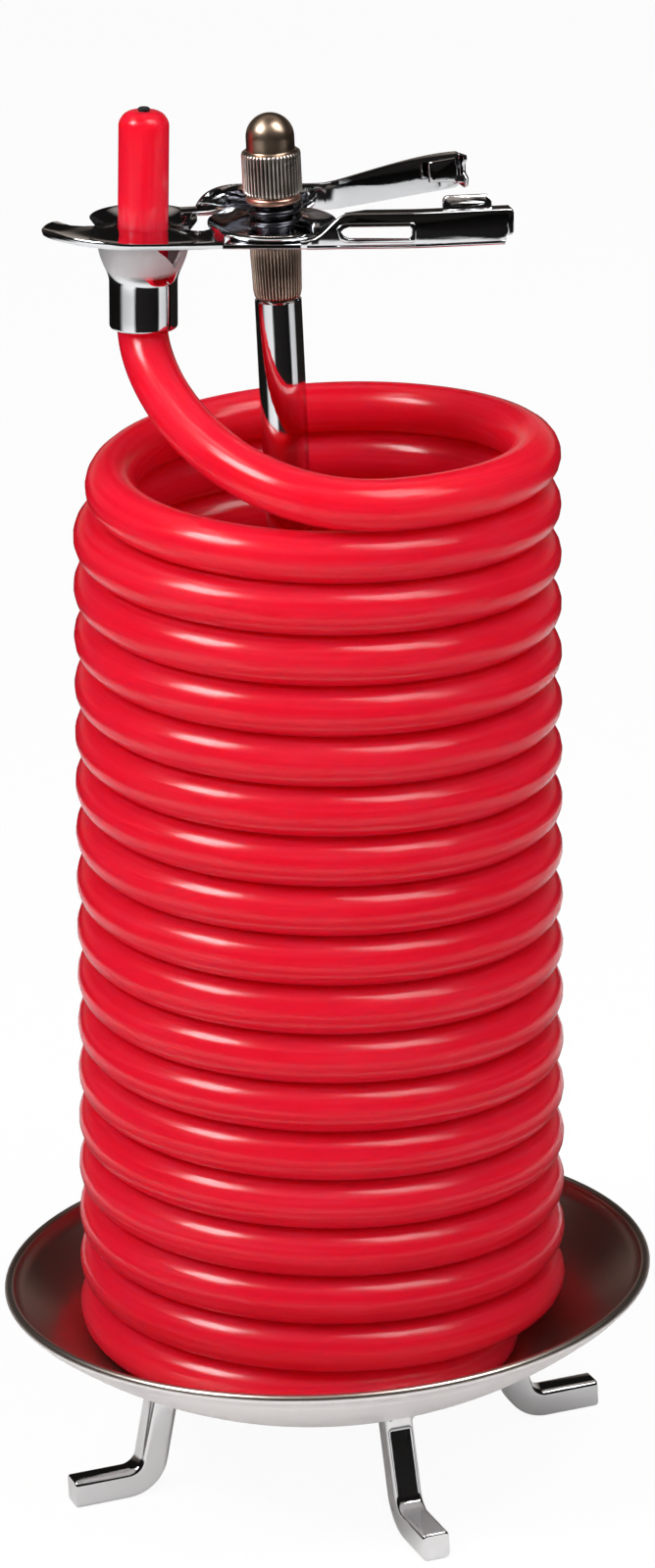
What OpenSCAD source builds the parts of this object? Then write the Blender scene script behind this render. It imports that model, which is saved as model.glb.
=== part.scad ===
// Wax taper stand: a coiled taper stands round a post on a drip dish with four legs,
// and its tip is held by a spring clip whose two levers turn on the top of the post.
// Origin on the post's axis at table level, +Z up, +X to the right. Millimetres.

/* [Drip dish] */
// Outer diameter of the dish over its rim bead
dish_d = 108; // [96:1:124]
// Height of the top of the rim above the table
dish_rim_z = 34.4; // [32:0.2:42]
// Depth of the bowl inside, from the rim's bead to its lowest point
dish_depth = 20; // [15:0.4:20.6]
// Thickness of the spun sheet
dish_wall = 1; // [0.8:0.1:1.4]
// Diameter of the bead turned on the rim
rim_bead_d = 1.6; // [1.4:0.1:2.4]
// Radius of the flat pad pressed in the middle of the bowl
pad_r = 6; // [5.5:0.25:8]

/* [Legs] */
// Side of the square leg bar
leg_bar = 4.75; // [4:0.25:6]
// Radius on the bar's long edges
leg_edge = 0.9; // [0.5:0.1:1.2]
// How far the legs' tops lie inside the dish's outer edge
leg_inset = 24; // [21:0.5:26]
// Outward lean of the upright part of a leg, in degrees
leg_lean = 13; // [4:0.5:16]
// Radius of the bend, at the middle of the bar
leg_bend_r = 5; // [4.5:0.25:6]
// How far a foot's end lies inside the dish's outer edge
foot_inset = 7; // [2:0.5:9]
// Angle of the first leg round the post, in degrees
leg_turn = 19.5; // [0:0.5:89]

/* [Post and collar] */
// Diameter of the post tube
post_d = 7.5; // [7:0.1:9]
// Length of the post tube above the dish
post_h = 188.5; // [178:1:200]
// Diameter of the tie rod inside the post
rod_d = 4; // [3.5:0.1:4.4]
// Bevel at the post's two ends
post_bevel = 0.35; // [0.2:0.05:0.6]
// Height of the knurled collar on top of the post
collar_h = 9.4; // [7:0.1:12]
// Largest diameter of the collar
collar_d = 8.2; // [8:0.1:9.5]
// Diameter of the collar where it meets the post
collar_foot_d = 7.4; // [7:0.1:8]
// Number of grooves in each knurl
knurl_count = 36; // [24:2:44]
// Depth of a knurl groove
knurl_depth = 0.22; // [0.1:0.02:0.3]

/* [Base fasteners] */
// Thickness of the washer under the dish
base_washer_t = 0.8; // [0.5:0.1:1.4]
// Outer diameter of the washer under the dish
base_washer_d = 9.5; // [9:0.25:11]
// Width across the flats of the base nut
nut_af = 7; // [6.5:0.1:8]
// Height of the base nut
nut_h = 3.2; // [2.4:0.2:4]
// Length of tie rod that shows below the nut
rod_tail = 1; // [0.4:0.1:2]

/* [Finial] */
// Outer diameter of the copper washer under the finial
top_washer_d = 8.8; // [8.4:0.1:9.4]
// Thickness of the copper washer
top_washer_t = 1.3; // [0.8:0.1:1.8]
// Diameter of the finial's knurled part
finial_d = 9.5; // [9:0.1:11]
// Height of the finial's knurled part
finial_knurl_h = 7.1; // [5:0.1:9]
// Diameter of the finial's dome
dome_d = 7.75; // [6.8:0.05:8.6]
// Height of the straight part below the dome's curve
dome_neck_h = 2.2; // [1:0.1:4]
// Length of tie rod held in the finial
rod_grip = 6; // [4:0.5:7]

/* [Clip] */
// Tilt of the whole clip on the post, right side down, in degrees
clip_tilt = 2.8; // [0:0.1:2.8]
// Thickness of the levers' sheet
clip_wall = 0.75; // [0.6:0.05:0.8]
// Outer diameter of the bush that the levers turn on
bush_d = 6.4; // [6.2:0.1:6.6]
// Length of the bush
bush_h = 5.75; // [5.7:0.05:6.2]
// Radius of the front lever's round eye
eye_r = 10.3; // [9.6:0.1:10.5]
// Distance from the pivot to the middle of the throat
jaw_reach = 21.1; // [20:0.1:24]
// Angle of the jaws round the post, in degrees
jaw_turn = 173.6; // [170:0.2:176]
// Radius of the throat that holds the taper
throat_r = 4.45; // [4.3:0.05:4.8]
// Inside radius of the cup below the throat
cup_r = 4.7; // [4.6:0.05:5.1]
// Depth of the cup below the levers
cup_h = 16; // [12:0.5:18]
// Height of the flared part of the cup
cup_flare_h = 8.5; // [7:0.25:10]
// Radius of the flare at its top
cup_flare_r = 7.5; // [6.9:0.05:7.8]
// Radius of the back lever's half saucer
saucer_r = 8.65; // [8:0.05:9.2]
// Height of the front handle's panel
front_handle_h = 5; // [4.6:0.1:6]
// Height of the back handle's panel at its end
back_handle_h = 6.6; // [6:0.1:8]
// Length of the window in the front handle
window_l = 12.2; // [9:0.2:13]
// Height of the window in the front handle
window_h = 2.1; // [1.4:0.1:2.4]
// Width of the folded edge on top of the handles
flange_w = 1.8; // [1.2:0.1:2.4]

/* [Clip spring] */
// Diameter of the spring wire
wire_d = 0.9; // [0.7:0.05:0.9]
// Rise of the spring in one turn
spring_pitch = 1.75; // [1.4:0.05:1.75]
// Length of the spring's two straight ends
spring_leg = 4.6; // [3:0.2:4.6]

/* [Wax taper] */
// Diameter of the wax taper
rope_d = 8.1; // [7.4:0.1:8.1]
// Number of turns in the coil
coil_turns = 18; // [10:1:18]
// Rise of the coil in one turn
coil_pitch = 8.42; // [8.42:0.02:8.6]
// Radius of the middle coil turn, at the taper's middle
coil_r = 35.9; // [33:0.1:37]
// Growth of the coil's radius towards the dish, per millimetre
coil_flare = 0.0078; // [0:0.0002:0.012]
// Sideways lean of the coil, per millimetre of height
coil_shear = 0.04; // [0:0.005:0.05]
// Tilt of each turn, right side down, in degrees
turn_tilt = 1.75; // [0:0.05:2.5]
// How far the top turn is drawn in at its left side
top_turn_tuck = 2; // [0:0.1:2.5]
// Length of the tail that slides in down the bowl, in turns
tail_turns = 0.46; // [0.4:0.02:0.5]
// How far the tail has slid in where the last turn is complete
tail_slide = 9; // [8.4:0.1:9.6]
// How far the tail has risen above the helix there
tail_rise = 0.5; // [0.3:0.1:0.7]
// How far behind the post's axis the coil's middle lies
coil_back = 4; // [2:0.1:5]
// How far right of the post's axis the coil's middle lies
coil_right = 1.9; // [0:0.1:3]
// Length of straight taper pulled out above the clip
tip_h = 18.7; // [12:0.1:30]
// Lean of the straight tip towards the post, in degrees
tip_lean = 3.57; // [2.4:0.01:3.7]
// Radius of the rounded edge at the tip's end
tip_round = 2.4; // [1:0.1:3]
// Diameter of the wick
wick_d = 1.9; // [1.2:0.1:2.4]
// Length of wick that stands out of the wax
wick_out = 0.6; // [0.2:0.1:4]

/* [Hidden] */
$fn = 96;

// Clearances
run_gap = 0.05; // between a shaft and the bore it turns in
slip_gap = 0.2; // between faces of different bodies that pass each other
rest_gap = 0.15; // between the lowest wax turn and the bowl
part_gap = 0.15; // from the jaws' parting plane to each half
skin = 0.02; // keeps the faces of joined sheets apart

// Dish: two spheres about one centre on the axis
rim_mid_r = dish_d / 2 - rim_bead_d / 2;
rim_mid_z = dish_rim_z - rim_bead_d / 2;
bowl_r = (rim_mid_r * rim_mid_r + dish_depth * dish_depth) / (2 * dish_depth);
bowl_mid_z = rim_mid_z - dish_depth + bowl_r;
floor_z = rim_mid_z - dish_depth;
function bowl_z(r) = bowl_mid_z - sqrt(bowl_r * bowl_r - r * r);
pad_top_z = bowl_z(pad_r);
under_z = floor_z - dish_wall;

// Stack along the post
hub_wall = 2.3;
rod_hole_r = rod_d / 2 + run_gap;
post_top_z = pad_top_z + post_h;
collar_top_z = post_top_z + collar_h;
bush_r = bush_d / 2;
hub_r = bush_r + hub_wall; // back lever's eye ring
tilt_drop = hub_r * sin(clip_tilt);
bush_low = 2 * clip_wall; // the two levers' eyes lie below the clip's plane
clip_z = collar_top_z + bush_low + tilt_drop + 0.1;
bush_top = bush_h - bush_low;
washer_z = clip_z + bush_top * cos(clip_tilt) + bush_r * sin(clip_tilt) + 0.1;
finial_z = washer_z + top_washer_t;
rod_low_z = under_z - base_washer_t - nut_h - rod_tail;
rod_top_z = finial_z + rod_grip;

// Clip: plan positions in its own plane, right = +X, back = +Y
eye_mid = [-0.4, 0.4];
eye_floor_r = 7.45;
eye_rise = 0.5;
bush_bore_r = rod_d / 2 + 0.4; // room for the tilt
leaf_tip = [-37.1, -0.8];
leaf_pull = [[-33, -11.5], [-22, -10.6]];
leaf_root = [-8, -9.8];
front_bend = [22.5, -9];
front_end = [37.7, -6.5];
front_start = [4, -9.8];
back_bend = [8, 9.4];
back_end = [30, 25];
back_start = [-5, 9.4];
back_tail = [-12.6, 7.6];
web_r = eye_r + norm(eye_mid) + 0.35; // clear of the front eye at every angle
cup_wall = 0.8; // thickness of the cup's wall
leaf_rim = [0.9, 0.35]; // width and height of the bead round the leaf
window_sill = 0.8; // height of the window's lower edge above the clip's plane
window_end = 0.9; // length of panel between the window and the bend
window_frame = [0.6, 0.25]; // width and height of the raised border round the window
handle_grow = 8; // length over which the front panel grows out of the eye
tab_h = 2.4; // height of the finger tab above the folded edge
tab_span = [0.3, 0.8]; // where the tab starts and ends, as shares of the finger end
foot_notch = [1.2, 0.8]; // notch at the lower corner of the finger end
notch_turn = -50; // direction of the notch in the front cup, seen from above
notch_half = 3.8; // half its width at the top
notch_deep = 4; // its depth
lug = [1.6, 0.8]; // width and thickness of the lug that the spring pushes on
arm_half = 0.7 * hub_r; // half width of the back lever's arm and web
back_panel_z = 5; // top of the back lever's panel behind the post
tail_end_z = 1.9; // top of its tail, where it meets the half saucer
end_round = 1.5; // radius of the back handle's lower corner
end_fold = 3; // depth of the fold near the back handle's end
saucer_rise = 1.3; // height of the half saucer's rim above the clip's plane

// Wax coil: a hexagonal section with flats above and below
coil_flat = rope_d - 0.15;
coil_corner = coil_flat / 2 / cos(30);
loop_rings = 24;
spring_rings = 8;
section_sides = 6;
coil_start = -0.19; // in turns, counted anticlockwise from the right, seen from above
coil_end = coil_turns + 0.04;
coil_mid_drop = coil_pitch * coil_turns / 2;
tail_power = 2.6;
riser_pull = 12; // how far the riser keeps its direction below the cup
riser_reach = 20.5; // how far it keeps the coil's direction before the coil

function unit(v) = v / norm(v);
function bezier(p, t) =
    pow(1 - t, 3) * p[0] + 3 * pow(1 - t, 2) * t * p[1]
    + 3 * (1 - t) * t * t * p[2] + t * t * t * p[3];

function bezier_way(p, t) =
    pow(1 - t, 2) * (p[1] - p[0]) + 2 * (1 - t) * t * (p[2] - p[1]) + t * t * (p[3] - p[2]);

// Share of the tail's slide: it grows ever faster, as the bowl grows steeper
function tail(turn) = pow(max(0, turn - coil_turns + tail_turns) / tail_turns, tail_power);
// Middle of the wax at a turn count, before the coil is set down in the dish
function coil_raw(turn) =
    let (drop = coil_pitch * turn, below = drop - coil_mid_drop)
    let (tuck = top_turn_tuck * exp(-pow((turn - 0.5) / 0.22, 2)))
    let (r = coil_r + coil_flare * below - tuck - tail_slide * tail(turn))
    [coil_right - coil_shear * below + r * cos(360 * turn),
     coil_back + r * sin(360 * turn),
     tail_rise * tail(turn) - drop - tan(turn_tilt) * r * cos(360 * turn)];
function coil_out(turn) = [cos(360 * turn), sin(360 * turn), 0];
function coil_ring(turn) =
    [for (i = [0:section_sides - 1])
        coil_raw(turn) + coil_corner * (cos(60 * i) * coil_out(turn) + sin(60 * i) * [0, 0, 1])];
// The cut end runs straight and level for one diameter
end_step = coil_raw(coil_end) - coil_raw(coil_end - 0.001);
end_run = rope_d * unit([end_step.x, end_step.y, 0]);
function lift(p) = bowl_z(norm([p.x, p.y])) - p.z;
// Height at which the last turns and the cut end just clear the bowl
coil_set_z = rest_gap + max(concat(
    [for (k = [0:2 * loop_rings], q = coil_ring(coil_end - k / loop_rings)) lift(q)],
    [for (q = coil_ring(coil_end)) lift(q + end_run)]
));
function coil_mid(turn) = coil_raw(turn) + [0, 0, coil_set_z];
function coil_way(turn) = unit(coil_mid(turn + 0.001) - coil_mid(turn - 0.001));

// Rings of points square to a path; up is the side that stays uppermost
function ring(mid, way, up, r, sides) =
    let (out = unit(cross(way, up)), top = cross(out, way))
    [for (i = [0:sides - 1]) mid + r * (cos(360 * i / sides) * out + sin(360 * i / sides) * top)];

// One closed tube from rings of points that all have the same count
module tube(rings, first_mid = undef) {
    n = len(rings[0]);
    m = len(rings);
    low_mid = m * n;
    polyhedron(
        points = concat(
            [for (one = rings, p = one) p],
            [is_undef(first_mid) ? mean(rings[0]) : first_mid, mean(rings[m - 1])]
        ),
        faces = concat(
            [for (j = [0:m - 2], i = [0:n - 1]) [j * n + i, j * n + (i + 1) % n, (j + 1) * n + i]],
            [for (j = [0:m - 2], i = [0:n - 1])
                [j * n + (i + 1) % n, (j + 1) * n + (i + 1) % n, (j + 1) * n + i]],
            [for (i = [0:n - 1]) [low_mid, (i + 1) % n, i]],
            [for (i = [0:n - 1]) [low_mid + 1, (m - 1) * n + i, (m - 1) * n + (i + 1) % n]]
        )
    );
}
function mean(points) = [for (k = [0:2]) sum([for (p = points) p[k]]) / len(points)];
function sum(v) = v * [for (one = v) 1];

// Outline of a knurled rod: a circle with shallow grooves
module knurl_outline(d) {
    groove_r = PI * d / knurl_count / 3;
    difference() {
        circle(d = d);
        for (k = [0:knurl_count - 1])
            rotate(360 * k / knurl_count)
                translate([d / 2 + groove_r - knurl_depth, 0])
                    circle(groove_r, $fn = 16);
    }
}

module on_clip() {
    translate([0, 0, clip_z])
        rotate([0, clip_tilt, 0])
            children();
}

// A vertical sheet panel from plan point p to q; its side view is drawn with x along it
module panel(p, q) {
    translate([p.x, p.y, 0])
        rotate([0, 0, atan2(q.y - p.y, q.x - p.x)])
            translate([0, clip_wall / 2, 0])
                rotate([90, 0, 0])
                    linear_extrude(clip_wall)
                        children();
}

module drip_dish() {
    color([0.78, 0.78, 0.8])
        rotate_extrude()
            difference() {
                union() {
                    intersection() {
                        translate([0, bowl_mid_z])
                            difference() {
                                circle(bowl_r + dish_wall, $fn = 360);
                                circle(bowl_r, $fn = 360);
                            }
                        translate([0, under_z - 1])
                            square([rim_mid_r, rim_mid_z - under_z + 1]);
                    }
                    translate([rim_mid_r, rim_mid_z])
                        circle(d = rim_bead_d, $fn = 32);
                    translate([0, under_z])
                        square([pad_r, pad_top_z - under_z]);
                }
                translate([-1, under_z - 1])
                    square([1 + rod_hole_r, pad_top_z - under_z + 2]);
            }
}

// A leg's bar stands square to its path; its top follows the underside of the dish
leg_bend_z = leg_bar / 2 + leg_bend_r;
leg_top_r = dish_d / 2 - leg_inset;
foot_end_r = dish_d / 2 - foot_inset;
leg_knee_z = leg_bend_z - leg_bend_r * sin(leg_lean);
leg_top_z = bowl_z(leg_top_r) - dish_wall;
leg_bend_mid_r = leg_top_r + (leg_top_z - leg_knee_z) * tan(leg_lean) + leg_bend_r * cos(leg_lean);
leg_bend_steps = 6;
leg_up = [-sin(leg_lean), 0, cos(leg_lean)];
bar_outline = [
    for (k = [0:3], a = [0:45:90])
        let (corner = (leg_bar / 2 - leg_edge) * sqrt(2) * [cos(45 + 90 * k), sin(45 + 90 * k)])
        corner + leg_edge * [cos(90 * k + a), sin(90 * k + a)]
];
function bar_ring(mid, up) = [for (p = bar_outline) mid + p.x * cross([0, 1, 0], up) + p.y * [0, 1, 0]];
// Slides a point along the upright until it meets the dish's outer sphere
function to_dish(p) =
    let (
        from_mid = p - [0, 0, bowl_mid_z],
        along = from_mid * leg_up,
        outer_r = bowl_r + dish_wall
    )
    p - (along + sqrt(along * along - from_mid * from_mid + outer_r * outer_r)) * leg_up;
function bend_point(a) =
    [leg_bend_mid_r + leg_bend_r * cos(a), 0, leg_bend_z + leg_bend_r * sin(a)];

module leg(i) {
    color([0.8, 0.8, 0.82])
        rotate([0, 0, leg_turn + 90 * i])
            tube(concat(
                [[for (p = bar_ring([leg_top_r, 0, leg_top_z], leg_up)) to_dish(p)]],
                [for (k = [0:leg_bend_steps])
                    let (a = 180 + leg_lean + (90 - leg_lean) * k / leg_bend_steps)
                    bar_ring(bend_point(a), [sin(a), 0, -cos(a)])],
                [bar_ring([foot_end_r, 0, leg_bar / 2], [-1, 0, 0])]
            ), to_dish([leg_top_r, 0, leg_top_z]));
}

module post_tube() {
    r = post_d / 2;
    color([0.82, 0.82, 0.84])
        rotate_extrude()
            polygon([
                [rod_hole_r, pad_top_z], [r - post_bevel, pad_top_z], [r, pad_top_z + post_bevel],
                [r, post_top_z - post_bevel], [r - post_bevel, post_top_z], [rod_hole_r, post_top_z]
            ]);
}

module tie_rod() {
    color([0.6, 0.6, 0.62])
        translate([0, 0, rod_low_z])
            cylinder(d = rod_d, h = rod_top_z - rod_low_z);
}

module base_washer() {
    color([0.7, 0.7, 0.72])
        translate([0, 0, under_z - base_washer_t])
            difference() {
                cylinder(d = base_washer_d, h = base_washer_t);
                translate([0, 0, -1])
                    cylinder(r = rod_hole_r, h = base_washer_t + 2);
            }
}

module base_nut() {
    corner_r = nut_af / 2 / cos(30);
    color([0.7, 0.7, 0.72])
        translate([0, 0, under_z - base_washer_t - nut_h])
            difference() {
                intersection() {
                    cylinder(r = corner_r, h = nut_h, $fn = 6);
                    rotate_extrude()
                        polygon([
                            [0, 0], [nut_af / 2 - 0.2, 0], [corner_r, 0.7],
                            [corner_r, nut_h], [0, nut_h]
                        ]);
                }
                translate([0, 0, -1])
                    cylinder(r = rod_hole_r, h = nut_h + 2);
            }
}

module knurled_collar() {
    r = collar_d / 2;
    foot_r = collar_foot_d / 2;
    color([0.62, 0.5, 0.44])
        translate([0, 0, post_top_z])
            difference() {
                intersection() {
                    linear_extrude(collar_h)
                        knurl_outline(collar_d);
                    rotate_extrude()
                        polygon([
                            [0, 0], [foot_r - 0.3, 0], [foot_r, 0.4], [r - 0.1, collar_h * 0.5],
                            [r, collar_h * 0.75], [r, collar_h - 0.4], [r - 0.35, collar_h], [0, collar_h]
                        ]);
                }
                translate([0, 0, -1])
                    cylinder(r = rod_hole_r, h = collar_h + 2);
            }
}

module pivot_bush() {
    color([0.3, 0.3, 0.32])
        on_clip()
            translate([0, 0, -bush_low])
                difference() {
                    cylinder(r = bush_r, h = bush_h);
                    translate([0, 0, -1])
                        cylinder(r = bush_bore_r, h = bush_h + 2);
                }
}

// Spring: its two straight ends leave the coil along its tangents
spring_r = bush_r + 0.3 + wire_d / 2;
spring_from = 45;
spring_to = 720;
spring_low = wire_d / 2 + 0.05;
spring_steps = round((spring_to - spring_from) / 360 * spring_rings);
function spring_raw(a) =
    [spring_r * cos(a), spring_r * sin(a), spring_low + spring_pitch * (a - spring_from) / 360];
function spring_way(a) = unit([-sin(a), cos(a), 0]);
function spring_path() = concat(
    [spring_raw(spring_from) - spring_leg * spring_way(spring_from),
     spring_raw(spring_from) - wire_d * spring_way(spring_from)],
    [for (k = [0:spring_steps])
        spring_raw(spring_from + (spring_to - spring_from) * k / spring_steps)],
    [spring_raw(spring_to) + wire_d * spring_way(spring_to),
     spring_raw(spring_to) + spring_leg * spring_way(spring_to)]
);
function ways(path) = [
    for (i = [0:len(path) - 1])
        unit(path[min(i + 1, len(path) - 1)] - path[max(i - 1, 0)])
];

module clip_spring() {
    path = spring_path();
    way = ways(path);
    color([0.35, 0.35, 0.37])
        on_clip()
            tube([for (i = [0:len(path) - 1])
                ring(path[i], way[i], [0, 0, 1], wire_d / 2, section_sides)]);
}

module copper_washer() {
    color([0.72, 0.45, 0.35])
        translate([0, 0, washer_z])
            rotate_extrude()
                polygon([
                    [rod_hole_r, 0], [top_washer_d / 2 - 0.2, 0], [top_washer_d / 2, 0.2],
                    [top_washer_d / 2, top_washer_t - 0.2], [top_washer_d / 2 - 0.2, top_washer_t],
                    [rod_hole_r, top_washer_t]
                ]);
}

module finial() {
    r = finial_d / 2;
    neck_r = dome_d / 2;
    color([0.6, 0.5, 0.45])
        translate([0, 0, finial_z])
            difference() {
                union() {
                    intersection() {
                        linear_extrude(finial_knurl_h)
                            knurl_outline(finial_d);
                        rotate_extrude()
                            polygon([
                                [0, 0], [r - 0.5, 0], [r - 0.1, 0.5], [r, finial_knurl_h / 2],
                                [r, finial_knurl_h - 0.3], [r - 0.3, finial_knurl_h], [0, finial_knurl_h]
                            ]);
                    }
                    cylinder(r = neck_r, h = finial_knurl_h + dome_neck_h);
                    translate([0, 0, finial_knurl_h + dome_neck_h])
                        difference() {
                            sphere(neck_r);
                            translate([0, 0, -2 * neck_r])
                                cylinder(r = 2 * neck_r, h = neck_r);
                        }
                }
                translate([0, 0, -1])
                    cylinder(r = rod_hole_r, h = rod_grip + 1.5);
            }
}

// The half of the clip on one side of the jaws' parting plane; side 1 is the front
module jaw_half(side) {
    intersection() {
        children();
        rotate([0, 0, jaw_turn])
            translate([-5, side > 0 ? part_gap : -part_gap - 60, -40])
                cube([70, 60, 80]);
    }
}

module at_throat() {
    rotate([0, 0, jaw_turn])
        translate([jaw_reach, 0, 0])
            children();
}

// Plan of the leaf round the taper, from its tip along the front edge to the eye
module leaf_plan() {
    polygon(concat(
        [for (t = [0:1 / 16:1]) bezier([leaf_tip, leaf_pull[0], leaf_pull[1], leaf_root], t)],
        [[-4, 0], [-20, 12], [-34.5, 6]]
    ));
}

// What both levers leave free: the bush's bore and the throat
module clip_bores() {
    translate([0, 0, -5])
        cylinder(r = bush_r + run_gap, h = 10);
    at_throat()
        translate([0, 0, -5])
            cylinder(r = throat_r, h = 10);
}

module front_lever() {
    color([0.8, 0.8, 0.82])
        on_clip()
            difference() {
                union() {
                    // Round eye: a shallow saucer
                    translate([eye_mid.x, eye_mid.y, -clip_wall])
                        rotate_extrude()
                            polygon([
                                [0, 0], [eye_floor_r, 0], [eye_r, eye_rise],
                                [eye_r, eye_rise + clip_wall], [eye_r - 0.4, eye_rise + clip_wall],
                                [eye_floor_r, clip_wall], [0, clip_wall]
                            ]);
                    // Flat apron between the leaf and the handle
                    translate([0, 0, skin - clip_wall])
                        linear_extrude(clip_wall - 2 * skin)
                            difference() {
                                polygon([
                                    leaf_root, front_start, front_start + [9, 0.4], [9, -5], [-7, -5]
                                ]);
                                translate(eye_mid)
                                    circle(eye_floor_r - 1.5);
                            }
                    // Leaf round the taper, with a bead on its outer edge
                    jaw_half(1)
                        translate([0, 0, 2 * skin - clip_wall])
                            linear_extrude(clip_wall - 4 * skin)
                                difference() {
                                    leaf_plan();
                                    translate(eye_mid)
                                        circle(eye_floor_r - 1);
                                }
                    jaw_half(1)
                        translate([0, 0, 3 * skin - clip_wall])
                            linear_extrude(clip_wall + leaf_rim[1])
                                difference() {
                                    leaf_plan();
                                    offset(delta = -leaf_rim[0])
                                        leaf_plan();
                                    translate(eye_mid)
                                        circle(eye_r - 1);
                                }
                    front_handle();
                    // Upright lug that the spring's lower end pushes on
                    translate(spring_raw(spring_from) - (spring_leg + lug[1] / 2) * spring_way(spring_from))
                        rotate([0, 0, spring_from])
                            translate([-lug[0] / 2, -lug[1] / 2, -spring_low - 0.3])
                                cube([lug[0], lug[1], wire_d + 0.8]);
                }
                clip_bores();
            }
}

// The window's outline, seen on the panel whose length is run
module window_plan(run) {
    near = run - window_l;
    far = run - window_end;
    polygon([
        [near, window_sill + window_h * 0.6], [near + 1.2, window_sill + window_h],
        [far, window_sill + window_h], [far, window_sill], [near + 1.2, window_sill + 0.2]
    ]);
}

module front_handle() {
    run = norm(front_bend - front_start);
    end_run = norm(front_end - front_bend);
    fold_z = front_handle_h - clip_wall;
    first_turn = atan2(front_bend.y - front_start.y, front_bend.x - front_start.x);
    turn = atan2(front_end.y - front_bend.y, front_end.x - front_bend.x);
    // Panel with the window and the raised border round it
    panel(front_start, front_bend)
        difference() {
            polygon(concat(
                [[0, -clip_wall], [run, -clip_wall], [run, front_handle_h]],
                [for (t = [0:1 / 8:1]) bezier([
                    [handle_grow, front_handle_h], [handle_grow * 0.6, front_handle_h],
                    [handle_grow * 0.5, eye_rise], [0, eye_rise]
                ], t)]
            ));
            window_plan(run);
        }
    translate([front_start.x, front_start.y, 0])
        rotate([0, 0, first_turn])
            translate([0, clip_wall / 2 - clip_wall, 0])
                rotate([90, 0, 0])
                    translate([0, 0, -clip_wall / 2])
                        linear_extrude(clip_wall / 2 + window_frame[1])
                            difference() {
                                offset(delta = window_frame[0])
                                    window_plan(run);
                                window_plan(run);
                            }
    // Finger end, with a notch at its lower corner
    panel(front_bend, front_end)
        difference() {
            translate([-clip_wall / 4, -clip_wall])
                square([end_run + clip_wall / 4, front_handle_h + clip_wall]);
            translate([end_run - foot_notch[0], -clip_wall - 1])
                square([foot_notch[0] + 1, foot_notch[1] + 1]);
        }
    // Folded edge of both stretches, and the finger tab that stands on its back
    translate([front_start.x, front_start.y, fold_z - 2 * skin])
        rotate([0, 0, first_turn])
            translate([handle_grow, 0, 0])
                cube([run - handle_grow, flange_w - skin, clip_wall]);
    translate([front_bend.x, front_bend.y, fold_z - skin])
        rotate([0, 0, turn])
            cube([end_run - skin, flange_w, clip_wall]);
    translate([front_bend.x, front_bend.y, fold_z])
        rotate([0, 0, turn])
            translate([end_run * tab_span[0], flange_w - clip_wall - skin, 0])
                cube([end_run * (tab_span[1] - tab_span[0]), clip_wall, tab_h]);
}

// Half cup below a lever, round the throat
module half_cup(side) {
    wall = cup_wall;
    top = -clip_wall;
    low = top - cup_h;
    difference() {
        jaw_half(side)
            at_throat()
                rotate_extrude()
                    polygon(concat(
                        [[cup_r, low + 0.3], [cup_r + 0.3, low], [cup_r + wall, low]],
                        [for (t = [0:1 / 8:1]) bezier([
                            [cup_r + wall, top - cup_flare_h], [cup_r + wall, top - cup_flare_h * 0.75],
                            [cup_flare_r, top - cup_flare_h * 0.6], [cup_flare_r, top]
                        ], t)],
                        [for (t = [0:1 / 8:1]) bezier([
                            [cup_flare_r - wall, top], [cup_flare_r - wall, top - cup_flare_h * 0.6],
                            [cup_r, top - cup_flare_h * 0.75], [cup_r, top - cup_flare_h]
                        ], t)]
                    ));
        // Notch beside the front lever's leaf
        if (side > 0)
            at_throat()
                rotate([0, 0, notch_turn - jaw_turn])
                    rotate([90, 0, 90])
                        linear_extrude(2 * cup_flare_r)
                            polygon([
                                [-notch_half - 0.6, 1], [-notch_half, top], [0.9, top - notch_deep],
                                [notch_half, top], [notch_half + 0.6, 1]
                            ]);
    }
}

module front_cup() {
    color([0.82, 0.82, 0.84])
        on_clip()
            half_cup(1);
}

module back_cup() {
    color([0.82, 0.82, 0.84])
        on_clip()
            half_cup(-1);
}

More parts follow.
